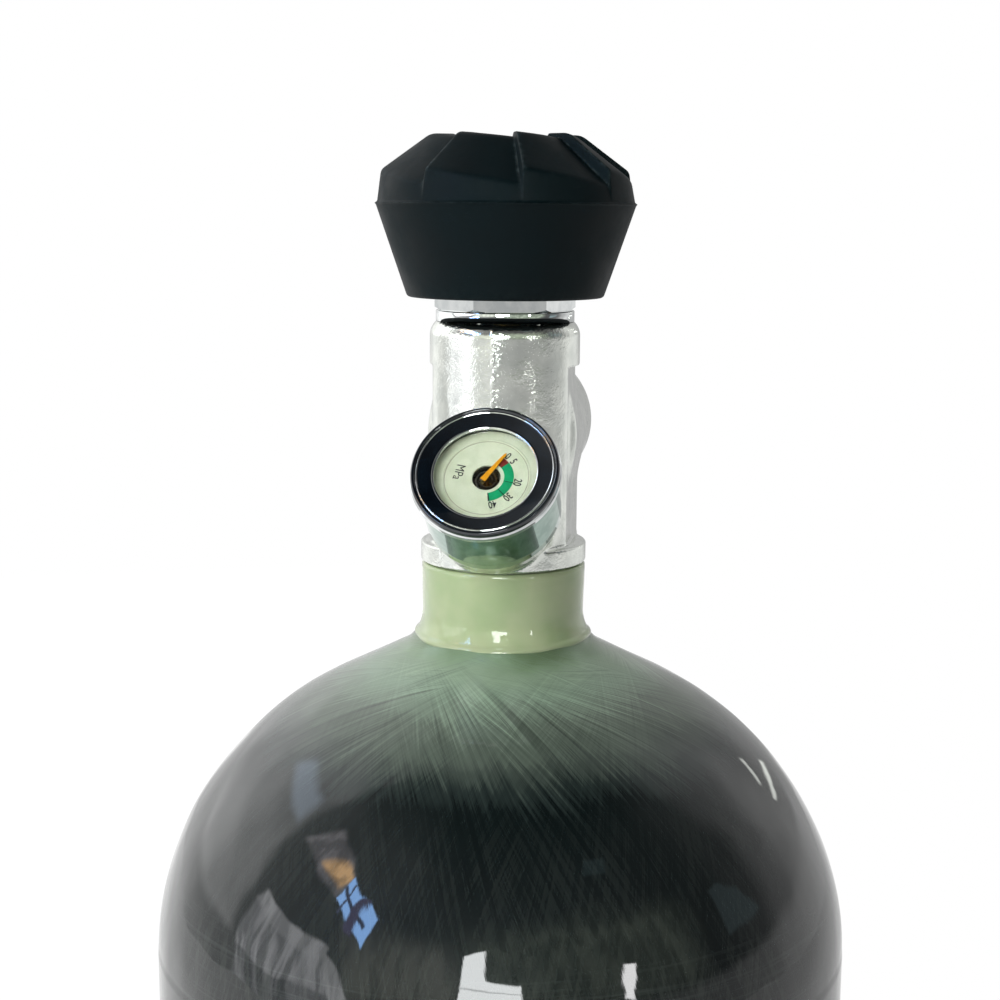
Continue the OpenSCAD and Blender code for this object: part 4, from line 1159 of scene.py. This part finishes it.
# What lies round the tank at and below its own height, and what lies above, both at half level
low_round = by_turn(
    (-180, 0.55), (-150, 0.85), (-125, 1.15), (-110, 0.85), (-90, 0.68), (-60, 0.72), (-35, 0.86),
    (-12, 0.84), (4, 0.54), (35, 0.44), (60, 0.43), (80, 0.45), (100, 0.55), (125, 0.85), (148, 0.85),
    (165, 0.50), (180, 0.45),
)
high_round = by_turn(
    (-180, 0.50), (-160, 0.70), (-140, 1.15), (-125, 1.55), (-93, 1.60), (-86, 0.55), (-70, 0.42),
    (-45, 0.38), (-20, 0.22), (0, 0.14), (30, 0.10), (85, 0.10), (105, 0.18), (120, 0.55), (135, 0.80),
    (150, 0.50), (180, 0.50),
)
rise = levels(rise_share, (
    (0.0, 1.0), (0.80, 1.0), (0.88, 0.80), (0.935, 0.40), (0.97, 0.15), (1.0, 0.10),
))
folds = room.noise(room.vector("MULTIPLY", way, (17, 17, 2)), 1.0)
clutter = room.ramp(room.noise(way, 3.2, 3.0), 0.3, 0.7, 1.75, 2.25)
high = room.vector("SCALE", room.vector("MULTIPLY", high_round, rise), clutter)
low = room.vector("SCALE", low_round, 2.0)
studio = room.mix(room.ramp(way_z, -0.02, 0.06), low, high)


def direction(azimuth, elevation):
    """A unit vector: azimuth 0 is in front of the tank, positive to the right."""
    az, el = math.radians(azimuth), math.radians(elevation)
    return Vector((math.sin(az) * math.cos(el), -math.cos(az) * math.cos(el), math.sin(el)))


def sky_shape(corners, soft):
    """1 inside a shape on the sky with straight sides, and 0 outside it, with soft edges."""
    spots = [direction(*corner) for corner in corners]
    middle = sum(spots, Vector()).normalized()
    blur = math.sin(math.radians(soft))
    share = None
    for a, b in zip(spots, spots[1:] + spots[:1]):
        wall = a.cross(b).normalized()
        if wall.dot(middle) < 0:
            wall = -wall
        edge = room.ramp(room.vector("DOT_PRODUCT", way, tuple(wall)), -blur, blur)
        share = edge if share is None else room.times(share, edge)
    return share


# Lit shapes round the tank, each laid over the ones before: the corners as (azimuth, elevation) and the
# softness of the edge in degrees, and how deep the folds are where it is pleated like a curtain
PANES = (
    # Pale walls behind the camera
    (((-44, 2), (-44, 22), (-6, 21), (-6, 2)), (0.95, 0.97, 0.86), 6.0, 0.2),
    (((-6, 3), (-6, 27), (75, 25), (75, 3)), (0.46, 0.52, 0.42), 7.0, 0.3),
    # A pale patch high on the left, and the curtain under it with its bright edges
    (((-121, 31), (-117, 40), (-93, 43), (-92, 34)), (2.5, 2.8, 3.2), 2.2, 0),
    (((-86, -1), (-84, 14), (-51, 11), (-46, -1)), (2.5, 2.5, 2.6), 0.9, 0.4),
    (((-89, -18), (-86, 0), (-46, 0), (-41, -10)), (1.25, 1.25, 1.3), 0.9, 0.4),
    (((-84, 13.5), (-80, 17.5), (-50, 13.5), (-52, 9)), (3.0, 3.0, 3.1), 0.8, 0.25),
    (((-52, 12), (-46, 9), (-40, 1), (-47, -2)), (3.4, 3.4, 3.5), 0.8, 0.25),
    # The window on the left: its frame, a lamp-lit wall, the blue sky and three bars
    (((-82, 35), (-73, 45), (-53, 38), (-54, 28)), (1.7, 1.6, 1.7), 1.5, 0.3),
    (((-67, 35), (-60, 40), (-53, 37), (-58, 32)), (7.0, 4.4, 2.2), 1.2, 0.3),
    (((-56, 29), (-53, 38), (-36, 27), (-39, 18)), (4.2, 7.6, 14.0), 0.5, 0),
    (((-55, 33), (-54, 34.4), (-40, 24.6), (-41, 23.3)), (0.6, 0.7, 1.2), 0.4, 0),
    (((-47, 21), (-44.6, 33), (-42.6, 33), (-44.4, 19.5)), (0.9, 0.8, 1.4), 0.4, 0),
    (((-52, 24), (-50, 36), (-49, 36), (-51, 24)), (0.9, 1.0, 1.6), 0.3, 0),
    # The white window in front, with a rail across it, and the narrow one beside it
    (((-4.5, 22.5), (5, 24.5), (5.5, 14), (-6, 14)), (16, 16.5, 16.5), 0.4, 0),
    (((-6, 14.4), (15.5, 15.4), (15.5, 7), (-7, 6)), (16, 16.5, 16.5), 0.4, 0),
    (((-7, 11.2), (16, 12.4), (16, 11.9), (-7, 10.7)), (9, 9.3, 9.3), 0.2, 0),
    (((48.4, 13.4), (51.4, 12.6), (50.6, 3), (48, 4)), (16, 16, 16), 0.4, 0),
    # Two glints and two dim panes on the right
    (((147.6, 17), (148.8, 15), (144.6, 12), (143.2, 13.6)), (3.2, 3.3, 3.1), 0.5, 0),
    (((156, 6), (157, 4.8), (145, 7.6), (143.8, 9.4)), (3.2, 3.3, 3.1), 0.5, 0),
    (((90, 23), (96, 23), (106, 8), (89, 9)), (0.30, 0.38, 0.40), 0.8, 0),
    (((47, 53), (59, 50), (56, 45), (42, 47)), (0.22, 0.30, 0.31), 0.8, 0),
)
for corners, colour, soft, pleats in PANES:
    if pleats:
        colour = room.vector("SCALE", colour, room.ramp(folds, 0.38, 0.62, 1 - pleats, 1 + pleats))
    studio = room.mix(sky_shape(corners, soft), studio, colour)

# What is looked at is the room, and white straight behind the tank. What falls on everything is a plain
# light, stronger from the left
shown = room.mix(room.ray("Camera"), studio, (1, 1, 1))
fill = room.ramp(way_x, -1.0, 1.0, 0.50, 0.12)
plain = room.node("Background", {"Color": (0.98, 1.0, 0.96), "Strength": fill}).outputs[0]
backdrop = room.node("Background", {"Color": shown, "Strength": 1.0}).outputs[0]
room.show(room.mix_shader(room.seen(), plain, backdrop))

LAMP_AIM = (0, 0, 480)


def lamp(name, azimuth, elevation, distance, side, radiance, colour):
    """A square lamp whose brightness is given as what a mirror shows of it."""
    data = bpy.data.lights.new(name, "AREA")
    data.size = side
    data.energy = radiance * math.pi * side * side
    data.color = colour
    obj = new_object(name, data)
    away = direction(azimuth, elevation)
    obj.location = Vector(LAMP_AIM) * MM + away * distance
    obj.rotation_euler = (-away).to_track_quat("-Z", "Y").to_euler()
    # What shines in the gloss is the room in the world, not the lamps
    obj.visible_glossy = obj.visible_transmission = False


lamp("key_left", -29, 28, 1.6, 1.1, 5.3, (0.97, 0.98, 1.0))
lamp("fill_back", 150, 10, 1.8, 1.0, 3.6, (1.0, 0.99, 0.97))

CAMERA_AWAY = 390.0
CAMERA_Z = 601.4
CAMERA_TURN = math.radians(8.7)
CAMERA_DOWN = math.radians(9.2)
CAMERA_ROLL = math.radians(0.45)
camera_data = bpy.data.cameras.new("camera")
camera_data.lens = 63.36
camera_data.sensor_width = 36.0
camera_data.clip_start = 0.01
camera_data.shift_x = -0.0037
camera = new_object("camera", camera_data)
camera.location = Vector((
    CAMERA_AWAY * math.sin(CAMERA_TURN), -CAMERA_AWAY * math.cos(CAMERA_TURN), CAMERA_Z
)) * MM
camera.rotation_euler = (
    Matrix.Rotation(CAMERA_TURN, 3, "Z")
    @ Matrix.Rotation(math.pi / 2 - CAMERA_DOWN, 3, "X")
    @ Matrix.Rotation(CAMERA_ROLL, 3, "Z")
).to_euler()
bpy.context.scene.camera = camera
bpy.context.scene.view_settings.view_transform = "Standard"

bpy.context.view_layer.update()
